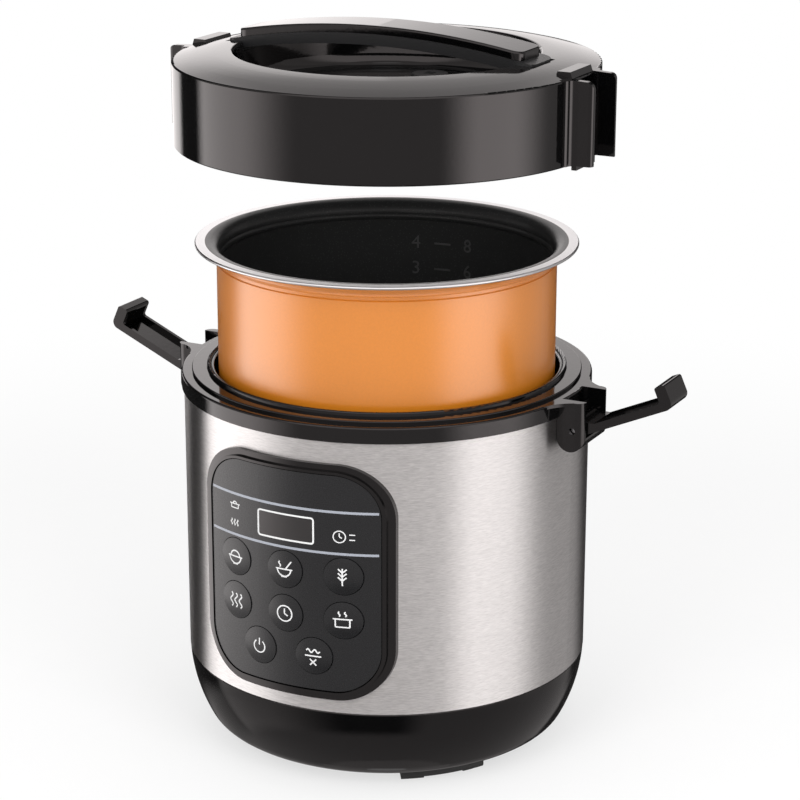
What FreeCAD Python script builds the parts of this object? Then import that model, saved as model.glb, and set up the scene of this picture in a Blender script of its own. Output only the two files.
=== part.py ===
import FreeCAD, Part
import math
import os

# Rice cooker with a lift-off lid, two side latches and a removable pot, in mm.
# Origin on the floor under the middle, +Z up, control panel towards -Y, latches at +X and -X.
# Everything is drawn seated, then the pot and the lid are raised to where they are shown.

# How far the pot stands over its seat, and the lid over the pot
POT_LIFT = 56.4
LID_LIFT = 50.6

# Outer casing
STEEL_R = 95.3
STEEL_T = 0.8
STEEL_Z0 = 41.6
STEEL_Z1 = 170.6
BASE_WALL = 2.5
BASE_FLOOR_Z = 5.5
FOOT_R0 = 64.0
FOOT_R1 = 77.0
FOOT_DEG = 42.0
FOOT_HALF_DEG = 15.5
FOOT_RELIEF_DEG = 7.5

# Top ring and the brackets that carry the latches
RING_R = 96.4
RING_TOP = 178.0
LAND_R = 91.5
LAND_Z = 179.4
BEAD_Z = 181.2
MOUTH_R = 81.0
CHEEK_Y0 = 11.0
CHEEK_Y1 = 15.0
CHEEK_X = 106.8
CHEEK_ROUND = 6.3
CUP_T = 1.8
BRACKET_Z0 = 154.6
EAR_T = 1.6
EAR_TIP = (92.6, 26.2)

# Latches, drawn shut and then swung open
PIVOT_X = 101.5
PIVOT_Z = 164.5
PIN_R = 1.5
PIN_CLEAR = 0.05
EYE_R = 4.0
ARM_HALF_W = 10.0
ARM_WALL = 1.8
ARM_DEPTH = 3.8
ARM_LENGTH = 48.8
HOOK_REACH = 11.4
HOOK_T = 5.4
OPEN_DEG = 66.0

# Cooking chamber
LINER_R = 83.0
LINER_T = 0.8
LINER_Z0 = 70.0
LINER_Z1 = 173.4
LINER_RIM_R = 91.6
SHIELD_R = 85.6
SHIELD_T = 0.5
SHIELD_Z0 = 67.5
SHIELD_Z1 = 163.0
SHIELD_MOUTH_R = 54.0
FELT_R = 91.2
FELT_T = 4.8
FELT_Z0 = 74.0
FELT_Z1 = 158.0
FELT_GAP_HALF_W = 34.0
PLATE_R = 72.0
PLATE_TOP = 91.4
PLATE_T = 5.4
ELEMENT_R = 48.0
ELEMENT_TUBE_R = 3.6
ELEMENT_GAP_DEG = 30.0
SENSOR_R = 16.0

# Pot
POT_R = 79.0
POT_WALL = 1.7
POT_FLANGE_R = 89.0
POT_FLANGE_Z = 181.4
POT_FLANGE_T = 1.5
POT_BOTTOM_Z = 91.8
POT_CORNER_R = 12.0
POT_MOUTH_R = 6.0
POT_GROOVE_Z = 174.8

# Lid
LID_R = 97.5
LID_Z0 = 178.3
LID_EDGE_Z = 216.4
WELL_R = 70.0
WELL_LIP_Z = 220.4
WELL_FLOOR_Z = 201.0
LUG_X = 107.5
LUG_Y0 = 11.3
LUG_Y1 = 14.3
PILASTER_R = 98.5
PILASTER_Y = 18.7
LUG_ROUND = 3.5
LUG_TOP_Z = 216.6
LUG_FLOOR_X = 98.8
TONGUE_Z0 = 176.0
TONGUE_HALF_W = 10.4
WINDOW_Z0 = 206.4
WINDOW_Z1 = 215.4
CEILING_Z = 196.4
SEAL_STEP_Z = 187.6
COVER_TOP_Z = 191.4
VENT_Y = 44.0

# Bridge handle over the well
HANDLE_ARCH_R = 390.0
HANDLE_TOP_Z = 232.4
CAP_T = 3.8
CAP_HALF_L = 72.0
CAP_HALF_W = 11.6
GRIP_T = 5.0
GRIP_HALF_L = 77.5
GRIP_HALF_W = 12.2
NOTCH_Z = 215.5
HANDLE_SCREW_X = 73.5
HANDLE_SCREW_Z = 196.8

# Control panel, outlined in XZ and wrapped round the casing
BEZEL_HALF_W = 48.5
BEZEL_Z0 = 48.5
BEZEL_Z1 = 160.5
BEZEL_CORNER = 25.0
BEZEL_R = 97.4
LIP_R = 98.9
FACE_R = 98.4
FACE_BACK_R = 96.3
FACE_HALF_W = 43.3
FACE_Z0 = 53.2
FACE_Z1 = 155.8
FACE_CORNER = 20.0
DISPLAY_HALF_W = 14.0
DISPLAY_Z0 = 123.0
DISPLAY_Z1 = 135.0
BUTTON_R = 8.7
BUTTON_HOLE_R = 9.0
BUTTON_CROWN_R = 99.4
BUTTON_DOME_R = 45.0
BUTTON_BACK_Y = -90.5
BOARD_Y = -88.6
BOARD_SPOTS = ((-27, 64), (27, 64), (-27, 142), (27, 142))
BUTTON_SPOTS = (
    (-16.2, 109.0), (0.0, 109.0), (16.2, 109.0),
    (-16.2, 88.0), (0.0, 88.0), (16.2, 88.0),
    (-8.1, 69.5), (8.1, 69.5),
)

# Power inlet at the back
INLET_HALF_W = 16.0
INLET_Z0 = 44.5
INLET_Z1 = 68.5
SOCKET_HALF_W = 12.0
SOCKET_Z0 = 48.3
SOCKET_Z1 = 64.8
SOCKET_DEPTH_Y = 81.0

UP = FreeCAD.Vector(0, 0, 1)
ALONG_Y = FreeCAD.Vector(0, 1, 0)
ORIGIN = FreeCAD.Vector(0, 0, 0)


def outline(items):
    """Closed wire in XZ: a pair ends a straight run, two pairs are an arc's middle and end."""
    points = [i if isinstance(i[0], tuple) else (i,) for i in items]
    at = [[FreeCAD.Vector(x, 0, z) for x, z in p] for p in points]
    edges = []
    last = at[-1][-1]
    for run in at:
        if len(run) == 2:
            edges.append(Part.Arc(last, run[0], run[1]).toShape())
        elif last.distanceToPoint(run[0]) > 1e-6:
            edges.append(Part.LineSegment(last, run[0]).toShape())
        last = run[-1]
    return Part.Wire(edges)


def turned(items):
    """Solid of revolution about Z of a profile given as radius and height."""
    return Part.Face(outline(items)).revolve(ORIGIN, UP, 360)


def plan(items, z0, z1):
    """Upright block of an outline given in XY."""
    wire = outline(items)
    wire.rotate(ORIGIN, FreeCAD.Vector(1, 0, 0), -90)
    face = Part.Face(wire)
    face.translate(FreeCAD.Vector(0, 0, z0))
    return face.extrude(FreeCAD.Vector(0, 0, z1 - z0))


def through_y(wire, y0, y1):
    """An XZ outline pushed along Y."""
    face = Part.Face(wire)
    face.translate(FreeCAD.Vector(0, y0, 0))
    return face.extrude(FreeCAD.Vector(0, y1 - y0, 0))


def rounded(half_w, z0, z1, r, x=0.0):
    """Rounded rectangle in XZ about the line at x."""
    k = r * (1 - math.sqrt(0.5))
    a = x - half_w
    b = x + half_w
    return outline([
        (b, z0 + r), (b, z1 - r), ((b - k, z1 - k), (b - r, z1)),
        (a + r, z1), ((a + k, z1 - k), (a, z1 - r)),
        (a, z0 + r), ((a + k, z0 + k), (a + r, z0)),
        (b - r, z0), ((b - k, z0 + k), (b, z0 + r)),
    ])


def box(x0, x1, y0, y1, z0, z1):
    return Part.makeBox(x1 - x0, y1 - y0, z1 - z0, FreeCAD.Vector(x0, y0, z0))


def rod(r, x, y, z, length, way=UP):
    return Part.makeCylinder(r, length, FreeCAD.Vector(x, y, z), way)


def tube(r, t, z0, z1):
    return rod(r, 0, 0, z0, z1 - z0).cut(rod(r - t, 0, 0, z0 - 1, z1 - z0 + 2))


def joined(first, *rest):
    return first.multiFuse(list(rest)).removeSplitter()


def spun(shape, count, start=0.0):
    """Copies of a shape in a circle about Z."""
    copies = []
    for i in range(count):
        one = shape.copy()
        one.rotate(ORIGIN, UP, start + 360.0 * i / count)
        copies.append(one)
    return copies


def mirrored(shape, normal=FreeCAD.Vector(1, 0, 0)):
    return shape.mirror(ORIGIN, normal)


# Lower housing: a bowl with a drawn-in foot, a locating lip, vents and screw posts
def base_shell():
    top = STEEL_R - BASE_WALL
    shell = turned([
        (STEEL_R - 0.4, STEEL_Z0), (STEEL_R - 0.1, STEEL_Z0 - 0.7), ((92.7, 25.5), (87.0, 11.0)),
        ((83.6, 7.1), (78.0, BASE_FLOOR_Z)),
        (0, BASE_FLOOR_Z), (0, BASE_FLOOR_Z + 2.5), (77.6, BASE_FLOOR_Z + 2.5),
        ((82.2, 9.3), (84.9, 12.4)), ((90.2, 26.2), (top, STEEL_Z0)),
        (top, STEEL_Z0 + 5), (top + 1.5, STEEL_Z0 + 5), (top + 1.5, STEEL_Z0),
    ])
    post = rod(5.0, 52, 0, BASE_FLOOR_Z + 1, 20)
    shell = joined(shell, *spun(post, 4))
    hole = joined(rod(4.2, 52, 0, 0, 9.5), rod(1.7, 52, 0, 0, 24))
    shell = shell.cut(Part.Compound(spun(hole, 4)))
    slot = joined(box(18, 40, -1.5, 1.5, 0, 12), rod(1.5, 18, 0, 0, 12), rod(1.5, 40, 0, 0, 12))
    return shell.cut(Part.Compound(spun(slot, 12, 15)))


# Four curved rubber pads, each with a lobe at either end
def feet():
    pad = turned([
        (FOOT_R0 + 0.8, 0), (FOOT_R1 - 1.6, 0), ((FOOT_R1 - 0.5, 0.5), (FOOT_R1, 1.6)),
        (FOOT_R1, BASE_FLOOR_Z), (FOOT_R0, BASE_FLOOR_Z), (FOOT_R0, 0.8),
    ])
    pad = pad.common(wedge(FOOT_HALF_DEG, -1, 20)).cut(wedge(FOOT_RELIEF_DEG, -1, 1.2))
    pads = []
    for deg in (FOOT_DEG, 180 - FOOT_DEG, 180 + FOOT_DEG, -FOOT_DEG):
        one = pad.copy()
        one.rotate(ORIGIN, UP, deg)
        pads.append(one)
    return Part.Compound(pads)


def wedge(half_deg, z0, z1):
    """Sector about Z, either side of +X."""
    k = math.radians(half_deg)
    x = 120 * math.cos(k)
    y = 120 * math.sin(k)
    corners = [FreeCAD.Vector(*p, z0) for p in ((0, 0), (x, -y), (x, y), (0, 0))]
    return Part.Face(Part.makePolygon(corners)).extrude(FreeCAD.Vector(0, 0, z1 - z0))


# Screws that come up through the base into its posts
def base_screws():
    head = rod(3.6, 52, 0, BASE_FLOOR_Z + 0.9, 2.6)
    screw = joined(head, rod(1.6, 52, 0, BASE_FLOOR_Z + 3, 15))
    slot = joined(box(49.6, 54.4, -0.5, 0.5, 5, 7.6), box(51.5, 52.5, -2.4, 2.4, 5, 7.6))
    return Part.Compound(spun(screw.cut(slot), 4))


# Brushed band, open behind the panel and the inlet
def steel_band():
    band = tube(STEEL_R, STEEL_T, STEEL_Z0, STEEL_Z1)
    panel = through_y(rounded(42.0, 56.0, 153.0, 16.0), -120, 0)
    inlet = through_y(rounded(13.6, 46.6, 66.4, 2.0), 0, 120)
    return band.cut(panel).cut(inlet)


# One bracket at +X: two round-ended pillars, thin ears that leave the ring, and a cup between the pillars
def latch_bracket():
    r = CHEEK_ROUND
    mid = CHEEK_X - r
    low = BRACKET_Z0 + r
    side = through_y(outline([
        (mid - r, RING_TOP), (CHEEK_X, RING_TOP), (CHEEK_X, low), ((mid, BRACKET_Z0), (mid - r, low)),
    ]), -40, 40)
    soft = 4.0
    k = soft * (1 - math.sqrt(0.5))
    pillar = plan([
        (90, CHEEK_Y0), (CHEEK_X, CHEEK_Y0),
        ((CHEEK_X - k, CHEEK_Y1 - k), (CHEEK_X - soft, CHEEK_Y1)), (90, CHEEK_Y1),
    ], 0, 200).common(side)
    ear = plan([
        (90, CHEEK_Y0), (CHEEK_X - 1.2, CHEEK_Y0), (CHEEK_X - 1.2, CHEEK_Y1 - 1.2),
        ((98.4, 17.4), EAR_TIP), (90, EAR_TIP[1]),
    ], RING_TOP - EAR_T, RING_TOP)
    cup = rod(r, mid, -CHEEK_Y0, low, 2 * CHEEK_Y0, ALONG_Y)
    cup = cup.cut(rod(r - CUP_T, mid, -CHEEK_Y0 - 1, low, 2 * CHEEK_Y0 + 2, ALONG_Y))
    cup = cup.cut(box(mid - 10, mid + 10, -20, 20, low, low + 20))
    half = joined(pillar, ear)
    whole = joined(half, mirrored(half, ALONG_Y), cup)
    whole = whole.cut(rod(STEEL_R + 0.05, 0, 0, 100, STEEL_Z1 - 100))
    whole = whole.cut(rod(RING_R - 2, 0, 0, STEEL_Z1 - 1, 20))
    return whole.cut(rod(PIN_R + PIN_CLEAR, PIVOT_X, -40, PIVOT_Z, 80, ALONG_Y))


# Gloss ring: outer land, step up to the pot's land, double bead and inner skirt
def top_ring():
    ring = turned([
        (RING_R, STEEL_Z1), (RING_R, RING_TOP - 1),
        ((RING_R - 0.3, RING_TOP - 0.3), (RING_R - 1, RING_TOP)),
        (LAND_R, RING_TOP), (LAND_R, LAND_Z - 0.5), ((LAND_R - 0.15, LAND_Z - 0.15), (LAND_R - 0.5, LAND_Z)),
        (84.6, LAND_Z), (84.4, BEAD_Z - 0.8), ((83.6, BEAD_Z), (82.8, BEAD_Z - 0.8)), (82.6, BEAD_Z - 1.5),
        ((81.8, BEAD_Z - 1.0), (MOUTH_R, BEAD_Z - 2.0)), (MOUTH_R, 160.0), (MOUTH_R + 1.6, 160.0),
        (MOUTH_R + 1.6, LINER_Z1), (92.0, LINER_Z1), (92.0, 164.0), (94.2, 164.0), (94.2, STEEL_Z1),
    ])
    bracket = latch_bracket()
    return joined(ring, bracket, mirrored(bracket))


# Steel pin that each latch turns on, sunk in the pillars
def latch_pin():
    reach = CHEEK_Y1 - 2.6
    pin = rod(PIN_R, PIVOT_X, -reach, PIVOT_Z, 2 * reach, ALONG_Y)
    return pin.makeChamfer(0.3, [e for e in pin.Edges if e.Closed])


# Latch: eye, shallow channel arm and a hollow hook, shut, then swung out on its pin
def latch():
    x = PIVOT_X
    z = PIVOT_Z
    top = z + ARM_LENGTH
    face = x + EYE_R
    rim = face - ARM_DEPTH
    tip = face - HOOK_REACH
    under = top - HOOK_T
    arm = through_y(outline([
        (face, z), (face, top - 3.5), ((face - 1.0, top - 1.0), (face - 3.5, top)),
        (tip + 1.2, top), ((tip + 0.35, top - 0.35), (tip, top - 1.2)),
        (tip, under + 1.2), ((tip + 0.35, under + 0.35), (tip + 1.2, under)),
        (rim - 1.2, under), ((rim - 0.35, under - 0.35), (rim, under - 1.2)),
        (rim, z + 9), (x - 2.6, z + 3),
    ]), -ARM_HALF_W, ARM_HALF_W)
    eye = rod(EYE_R, x, -ARM_HALF_W, z, 2 * ARM_HALF_W, ALONG_Y)
    inner = ARM_HALF_W - ARM_WALL
    hollow = box(tip + ARM_WALL, face - ARM_WALL, -inner, inner, z + 9.5, top - ARM_WALL)
    whole = joined(arm, eye).cut(hollow)
    whole = whole.cut(rod(PIN_R + PIN_CLEAR, x, -40, z, 80, ALONG_Y))
    whole.rotate(FreeCAD.Vector(x, 0, z), ALONG_Y, OPEN_DEG)
    return whole


# Pressed chamber that the pot hangs in, its rim turned out under the top ring
def inner_liner():
    outer = LINER_R + LINER_T
    rim = LINER_Z1 - LINER_T
    liner = turned([
        (LINER_R, LINER_Z1), (LINER_RIM_R, LINER_Z1), (LINER_RIM_R, rim), (outer, rim),
        (outer, LINER_Z0 + 6), ((outer - 1.8, LINER_Z0 + 1.8), (outer - 6, LINER_Z0)),
        (22, LINER_Z0), (22, LINER_Z0 + LINER_T), (outer - 6, LINER_Z0 + LINER_T),
        ((outer - 2.4, LINER_Z0 + 2.4), (LINER_R, LINER_Z0 + 6)),
    ])
    return liner.cut(Part.Compound([rod(4.0, x, y, LINER_Z0 - 1, 4) for x, y in terminal_spots()]))


# Reflector can round the chamber, hung from its floor by three dimples
def heat_shield():
    r = SHIELD_R + SHIELD_T
    floor = SHIELD_Z0 + SHIELD_T
    can = turned([
        (SHIELD_R, SHIELD_Z1), (r, SHIELD_Z1), (r, SHIELD_Z0), (SHIELD_MOUTH_R, SHIELD_Z0),
        (SHIELD_MOUTH_R, floor), (SHIELD_R, floor),
    ])
    dimple = rod(4.0, 66, 0, SHIELD_Z0 + 0.1, LINER_Z0 - SHIELD_Z0 - 0.1)
    return joined(can, *spun(dimple, 3, 30))


# Felt wrapped round the reflector, open at the front where the control board stands
def insulation_wrap():
    felt = tube(FELT_R, FELT_T, FELT_Z0, FELT_Z1)
    return felt.cut(box(-FELT_GAP_HALF_W, FELT_GAP_HALF_W, -120, 0, 0, 200))


# Cast plate on three legs, dished in the middle for the sensor
def heating_plate():
    low = PLATE_TOP - PLATE_T
    plate = turned([
        (SENSOR_R + 1, low), (PLATE_R - 6, low),
        ((PLATE_R - 1.8, low + 1.6), (PLATE_R, PLATE_TOP - 1.2)),
        (PLATE_R - 1.0, PLATE_TOP), (SENSOR_R + 1, PLATE_TOP),
    ])
    leg = joined(rod(4.5, 62, 0, LINER_Z0 + LINER_T, 16), rod(6.5, 62, 0, LINER_Z0 + 8, 8))
    return joined(plate, *spun(leg, 3, 30))


def terminal_spots():
    """Where the element's two ends turn down, either side of its gap at the back."""
    spots = []
    for side in (-1, 1):
        a = math.radians(90 - side * ELEMENT_GAP_DEG / 2)
        spots.append((ELEMENT_R * math.cos(a), ELEMENT_R * math.sin(a)))
    return spots


# Tubular element bent to an open ring under the plate, its terminals down through the chamber's floor
def heating_element():
    r = ELEMENT_TUBE_R
    z = PLATE_TOP - PLATE_T - r - 0.1
    ring = Part.makeTorus(ELEMENT_R, r, FreeCAD.Vector(0, 0, z), UP, -180, 180, 360 - ELEMENT_GAP_DEG)
    ring.rotate(ORIGIN, UP, 90 + ELEMENT_GAP_DEG / 2)
    ends = []
    for x, y in terminal_spots():
        ends.append(Part.makeSphere(r, FreeCAD.Vector(x, y, z)))
        ends.append(rod(2.0, x, y, LINER_Z0 - 6, z - LINER_Z0 + 6))
    return joined(ring, *ends)


# Thermostat cap that rides in the plate's middle, with a skirt round its spring
def thermo_sensor():
    top = PLATE_TOP - 0.1
    return turned([
        (0, top - 1.6), (0, top), (SENSOR_R - 1, top), (SENSOR_R, top - 1), (SENSOR_R, top - 9),
        (SENSOR_R - 1.6, top - 9), (SENSOR_R - 1.6, top - 1.6),
    ])


# Flat cup below the sensor that holds the spring's foot
def sensor_bracket():
    low = LINER_Z0 - 2
    return turned([
        (0, low), (26, low), (26, LINER_Z0), (21, LINER_Z0), (21, low + 1.2), (6, low + 1.2),
        (6, low + 6), (5, low + 6), (5, low + 1.2), (0, low + 1.2),
    ])


# Coil spring of half turns under the sensor, its wire six-sided
def sensor_spring():
    r = 8.0
    wire = 0.6
    turns = 4
    z0 = LINER_Z0 - 0.1
    z1 = PLATE_TOP - 1.75 - wire
    edges = []
    for n in range(2 * turns):
        ends = []
        for part in (0, 0.5, 1):
            a = math.pi * (n + part)
            h = z0 + (z1 - z0) * (n + part) / (2 * turns)
            ends.append(FreeCAD.Vector(r * math.cos(a), r * math.sin(a), h))
        edges.append(Part.Arc(*ends).toShape())
    start = edges[0].firstVertex().Point
    along = edges[0].tangentAt(edges[0].FirstParameter)
    across = along.cross(UP).normalize()
    over = across.cross(along).normalize()
    corners = []
    for n in range(7):
        a = math.pi * n / 3
        corners.append(start + across * (wire * math.cos(a)) + over * (wire * math.sin(a)))
    return Part.Wire(edges).makePipeShell([Part.makePolygon(corners)], True, False)


# Fuse in its sleeve, strapped under the chamber's floor
def thermal_fuse():
    r = 2.4
    body = rod(r, -40, -12, LINER_Z0 - r, 24, ALONG_Y)
    leads = rod(0.7, -40, -20, LINER_Z0 - r, 40, ALONG_Y)
    return joined(body, leads)


# Supply board on two posts, and the parts that stand on it
def power_board():
    board = box(-36, 36, -22, 22, 30.0, 31.6)
    post = rod(3.2, 0, 0, BASE_FLOOR_Z + 2.5, 30.0 - BASE_FLOOR_Z - 2.5)
    posts = []
    for x in (-14, 14):
        one = post.copy()
        one.translate(FreeCAD.Vector(x, 0, 0))
        posts.append(one)
    return joined(board, *posts)


def power_components():
    z = 31.6
    transformer = joined(box(-32, -8, -13, 13, z, z + 15), box(-29, -11, -16, 16, z + 3, z + 18))
    relay = box(4, 22, -18, -5, z, z + 14)
    capacitor = rod(6, 13, 8, z, 17)
    fins = [box(26 + 2.3 * i, 27.4 + 2.3 * i, -16, 16, z, z + 18) for i in range(3)]
    sink = joined(box(26, 33, -16, 16, z, z + 2), *fins)
    return Part.Compound([transformer, relay, capacitor, sink])


# Panel frame: a low outer step, a raised lip and a collar through the casing
def panel_bezel():
    outer = through_y(rounded(BEZEL_HALF_W, BEZEL_Z0, BEZEL_Z1, BEZEL_CORNER), -120, 0)
    lip = through_y(rounded(BEZEL_HALF_W - 3.0, BEZEL_Z0 + 3.0, BEZEL_Z1 - 3.0, BEZEL_CORNER - 3), -120, 0)
    seat = through_y(rounded(FACE_HALF_W + 0.5, FACE_Z0 - 0.5, FACE_Z1 + 0.5, FACE_CORNER + 0.5), -120, 0)
    collar = through_y(rounded(41.7, 56.3, 152.7, 15.7), -120, 0)
    clear = through_y(rounded(39.7, 58.3, 150.7, 13.7), -120, 0)
    low = tube(BEZEL_R, BEZEL_R - STEEL_R - 0.05, 40, 170).common(outer)
    high = tube(LIP_R, LIP_R - STEEL_R - 0.05, 40, 170).common(lip)
    neck = tube(STEEL_R + 0.3, 3.6, 40, 170).common(collar)
    frame = joined(low, high, neck)
    frame = frame.cut(tube(120, 120 - FACE_BACK_R, 40, 170).common(seat))
    return frame.cut(clear)


def on_panel(deg, z, r):
    """A point of the panel at an angle from its middle."""
    a = math.radians(deg)
    return FreeCAD.Vector(r * math.sin(a), -r * math.cos(a), z)


# Satin face, curved with the casing, open for the buttons and the display, with four posts for the board
def panel_face():
    sheet = tube(FACE_R, FACE_R - FACE_BACK_R - 0.05, 40, 170)
    sheet = sheet.common(through_y(rounded(FACE_HALF_W, FACE_Z0, FACE_Z1, FACE_CORNER), -120, 0))
    posts = [rod(3.2, x, -93.4, z, 93.4 + BOARD_Y, ALONG_Y) for x, z in BOARD_SPOTS]
    holes = [through_y(rounded(DISPLAY_HALF_W, DISPLAY_Z0, DISPLAY_Z1, 1.2), -120, 0)]
    for deg, z in BUTTON_SPOTS:
        p = on_panel(deg, z, FACE_R)
        holes.append(rod(BUTTON_HOLE_R, p.x, -120, z, 60, ALONG_Y))
    for x, z in BOARD_SPOTS:
        holes.append(rod(1.2, x, BOARD_Y - 4, z, 10, ALONG_Y))
    return joined(sheet, *posts).cut(Part.Compound(holes))


# Smoked window over the display, flush with the face
def display_window():
    gap = 0.15
    pane = tube(FACE_R - gap, 1.4, 100, 150)
    shape = rounded(DISPLAY_HALF_W - gap, DISPLAY_Z0 + gap, DISPLAY_Z1 - gap, 1.0)
    return pane.common(through_y(shape, -120, 0))


def display_module():
    case = box(-15, 15, -94.2, BOARD_Y, 122.5, 135.5)
    return case.cut(box(-13, 13, -95, -93.7, 124.2, 133.8))


# Flat board behind the panel with the display and eight key switches
def control_board():
    board = box(-31, 31, BOARD_Y, BOARD_Y + 1.5, 60, 146)
    holes = [rod(1.6, x, BOARD_Y - 1, z, 4, ALONG_Y) for x, z in BOARD_SPOTS]
    return board.cut(Part.Compound(holes))


def key_switches():
    switches = []
    for deg, z in BUTTON_SPOTS:
        x = on_panel(deg, z, FACE_R).x
        body = box(x - 3, x + 3, BOARD_Y - 0.7, BOARD_Y, z - 3, z + 3)
        switches.append(joined(body, rod(1.6, x, BOARD_Y - 1.0, z, 0.6, ALONG_Y)))
    return Part.Compound(switches)


# Button: round cap with a domed front that follows the face, and a stem to its switch
def button(deg, z):
    p = on_panel(deg, z, FACE_R)
    tilt = abs(math.sin(math.radians(deg)))
    back = min(p.y + 2.2 + 12.5 * tilt, BUTTON_BACK_Y - 0.2)
    cap = rod(BUTTON_R, p.x, -112, z, 112 + back, ALONG_Y)
    dome = Part.makeSphere(BUTTON_DOME_R, on_panel(deg, z, BUTTON_CROWN_R - BUTTON_DOME_R))
    stem = rod(2.2, p.x, back - 1, z, BUTTON_BACK_Y - back + 1, ALONG_Y)
    return joined(cap.common(dome), stem)


# Mains inlet: flange on the casing, socket box behind it, and three flat pins
def power_inlet():
    flange = tube(STEEL_R + 2.0, 1.95, 30, 80)
    flange = flange.common(through_y(rounded(INLET_HALF_W, INLET_Z0, INLET_Z1, 3.0), 0, 120))
    wall = 1.4
    case = rounded(SOCKET_HALF_W + wall, SOCKET_Z0 - wall, SOCKET_Z1 + wall, 1.6)
    case = through_y(case, SOCKET_DEPTH_Y - 2, 96)
    cut = outline([
        (-SOCKET_HALF_W, SOCKET_Z0), (SOCKET_HALF_W, SOCKET_Z0), (SOCKET_HALF_W, SOCKET_Z1 - 5),
        (SOCKET_HALF_W - 5, SOCKET_Z1), (-SOCKET_HALF_W + 5, SOCKET_Z1), (-SOCKET_HALF_W, SOCKET_Z1 - 5),
    ])
    return joined(flange, case).cut(through_y(cut, SOCKET_DEPTH_Y, 120))


def inlet_pins():
    pins = []
    for x, z in ((-7, 54.5), (0, 58.5), (7, 54.5)):
        pins.append(box(x - 1, x + 1, SOCKET_DEPTH_Y, SOCKET_DEPTH_Y + 11, z - 2, z + 2))
    return Part.Compound(pins)


# Drawn pot: flat flange on a rounded mouth, a pressed groove, straight wall and a round bottom corner
def inner_pot():
    r = POT_R
    low = POT_BOTTOM_Z
    k = POT_CORNER_R * (1 - math.sqrt(0.5))
    n = POT_CORNER_R - POT_WALL
    j = n * (1 - math.sqrt(0.5))
    a = r - POT_WALL
    top = POT_FLANGE_Z + POT_FLANGE_T
    neck = top - POT_MOUTH_R
    mouth = a + POT_MOUTH_R
    m = POT_MOUTH_R * math.sqrt(0.5)
    u = POT_FLANGE_Z - neck
    g = POT_GROOVE_Z
    return turned([
        (0, low), (r - POT_CORNER_R, low), ((r - k, low + k), (r, low + POT_CORNER_R)),
        (r, g - 1.2), (r - 0.6, g - 0.7), (r - 0.6, g + 0.7), (r, g + 1.2), (mouth - u, neck),
        ((mouth - u * math.sqrt(0.5), neck + u * math.sqrt(0.5)), (mouth, POT_FLANGE_Z)),
        (POT_FLANGE_R - 0.5, POT_FLANGE_Z),
        ((POT_FLANGE_R, POT_FLANGE_Z + 0.75), (POT_FLANGE_R - 0.5, top)),
        (mouth, top), ((mouth - m, neck + m), (a, neck)),
        (a, g + 1.6), ((a - 0.6, g), (a, g - 1.6)), (a, low + POT_CORNER_R + 0.4),
        ((a - j, low + 2.1 + j), (a - n, low + 2.1)), (0, low + 2.1),
    ])


# Outer lid: skirt, crowned annulus, well, and a stepped recess below for the seal and cover
def lid_shell():
    edge = LID_EDGE_Z
    shell = turned([
        (LID_R, LID_Z0 + 0.6), (LID_R, edge - 0.8),
        ((LID_R - 0.3, edge - 0.2), (LID_R - 1, edge + 0.1)),
        ((84.0, WELL_LIP_Z - 1.3), (WELL_R + 1.2, WELL_LIP_Z)),
        ((WELL_R + 0.2, WELL_LIP_Z - 0.2), (WELL_R - 0.4, WELL_LIP_Z - 1.2)),
        (67.6, WELL_FLOOR_Z + 6.0), ((65.6, WELL_FLOOR_Z + 1.9), (61.6, WELL_FLOOR_Z)), (0, WELL_FLOOR_Z),
        (0, COVER_TOP_Z), (8.0, COVER_TOP_Z), (8.6, CEILING_Z), (78.5, CEILING_Z), (80.5, CEILING_Z - 2),
        (80.5, SEAL_STEP_Z), (91.4, SEAL_STEP_Z), (91.9, SEAL_STEP_Z - 0.6),
        (91.9, LID_Z0), (LID_R - 0.6, LID_Z0),
    ])
    lug = lid_lug()
    shell = joined(shell, lug, mirrored(lug))
    window = box(89.0, LUG_FLOOR_X + 2, -10.6, 10.6, WINDOW_Z0, WINDOW_Z1)
    window = joined(window, box(LUG_FLOOR_X, LUG_X + 2, -LUG_Y0, LUG_Y0, 170, 240))
    notch = box(GRIP_HALF_L - 12, GRIP_HALF_L + 0.3, -GRIP_HALF_W - 0.3, GRIP_HALF_W + 0.3, NOTCH_Z, 240)
    x = HANDLE_SCREW_X
    bore = joined(rod(3.8, x, 0, 190, HANDLE_SCREW_Z + 3.1 - 190), rod(1.8, x, 0, 190, 30))
    for cut in (window, notch, bore):
        shell = shell.cut(cut).cut(mirrored(cut))
    shell = shell.cut(rod(5.2, 0, VENT_Y, 190, 20))
    return shell.cut(rod(2.6, 0, 0, COVER_TOP_Z - 1, 9))


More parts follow.
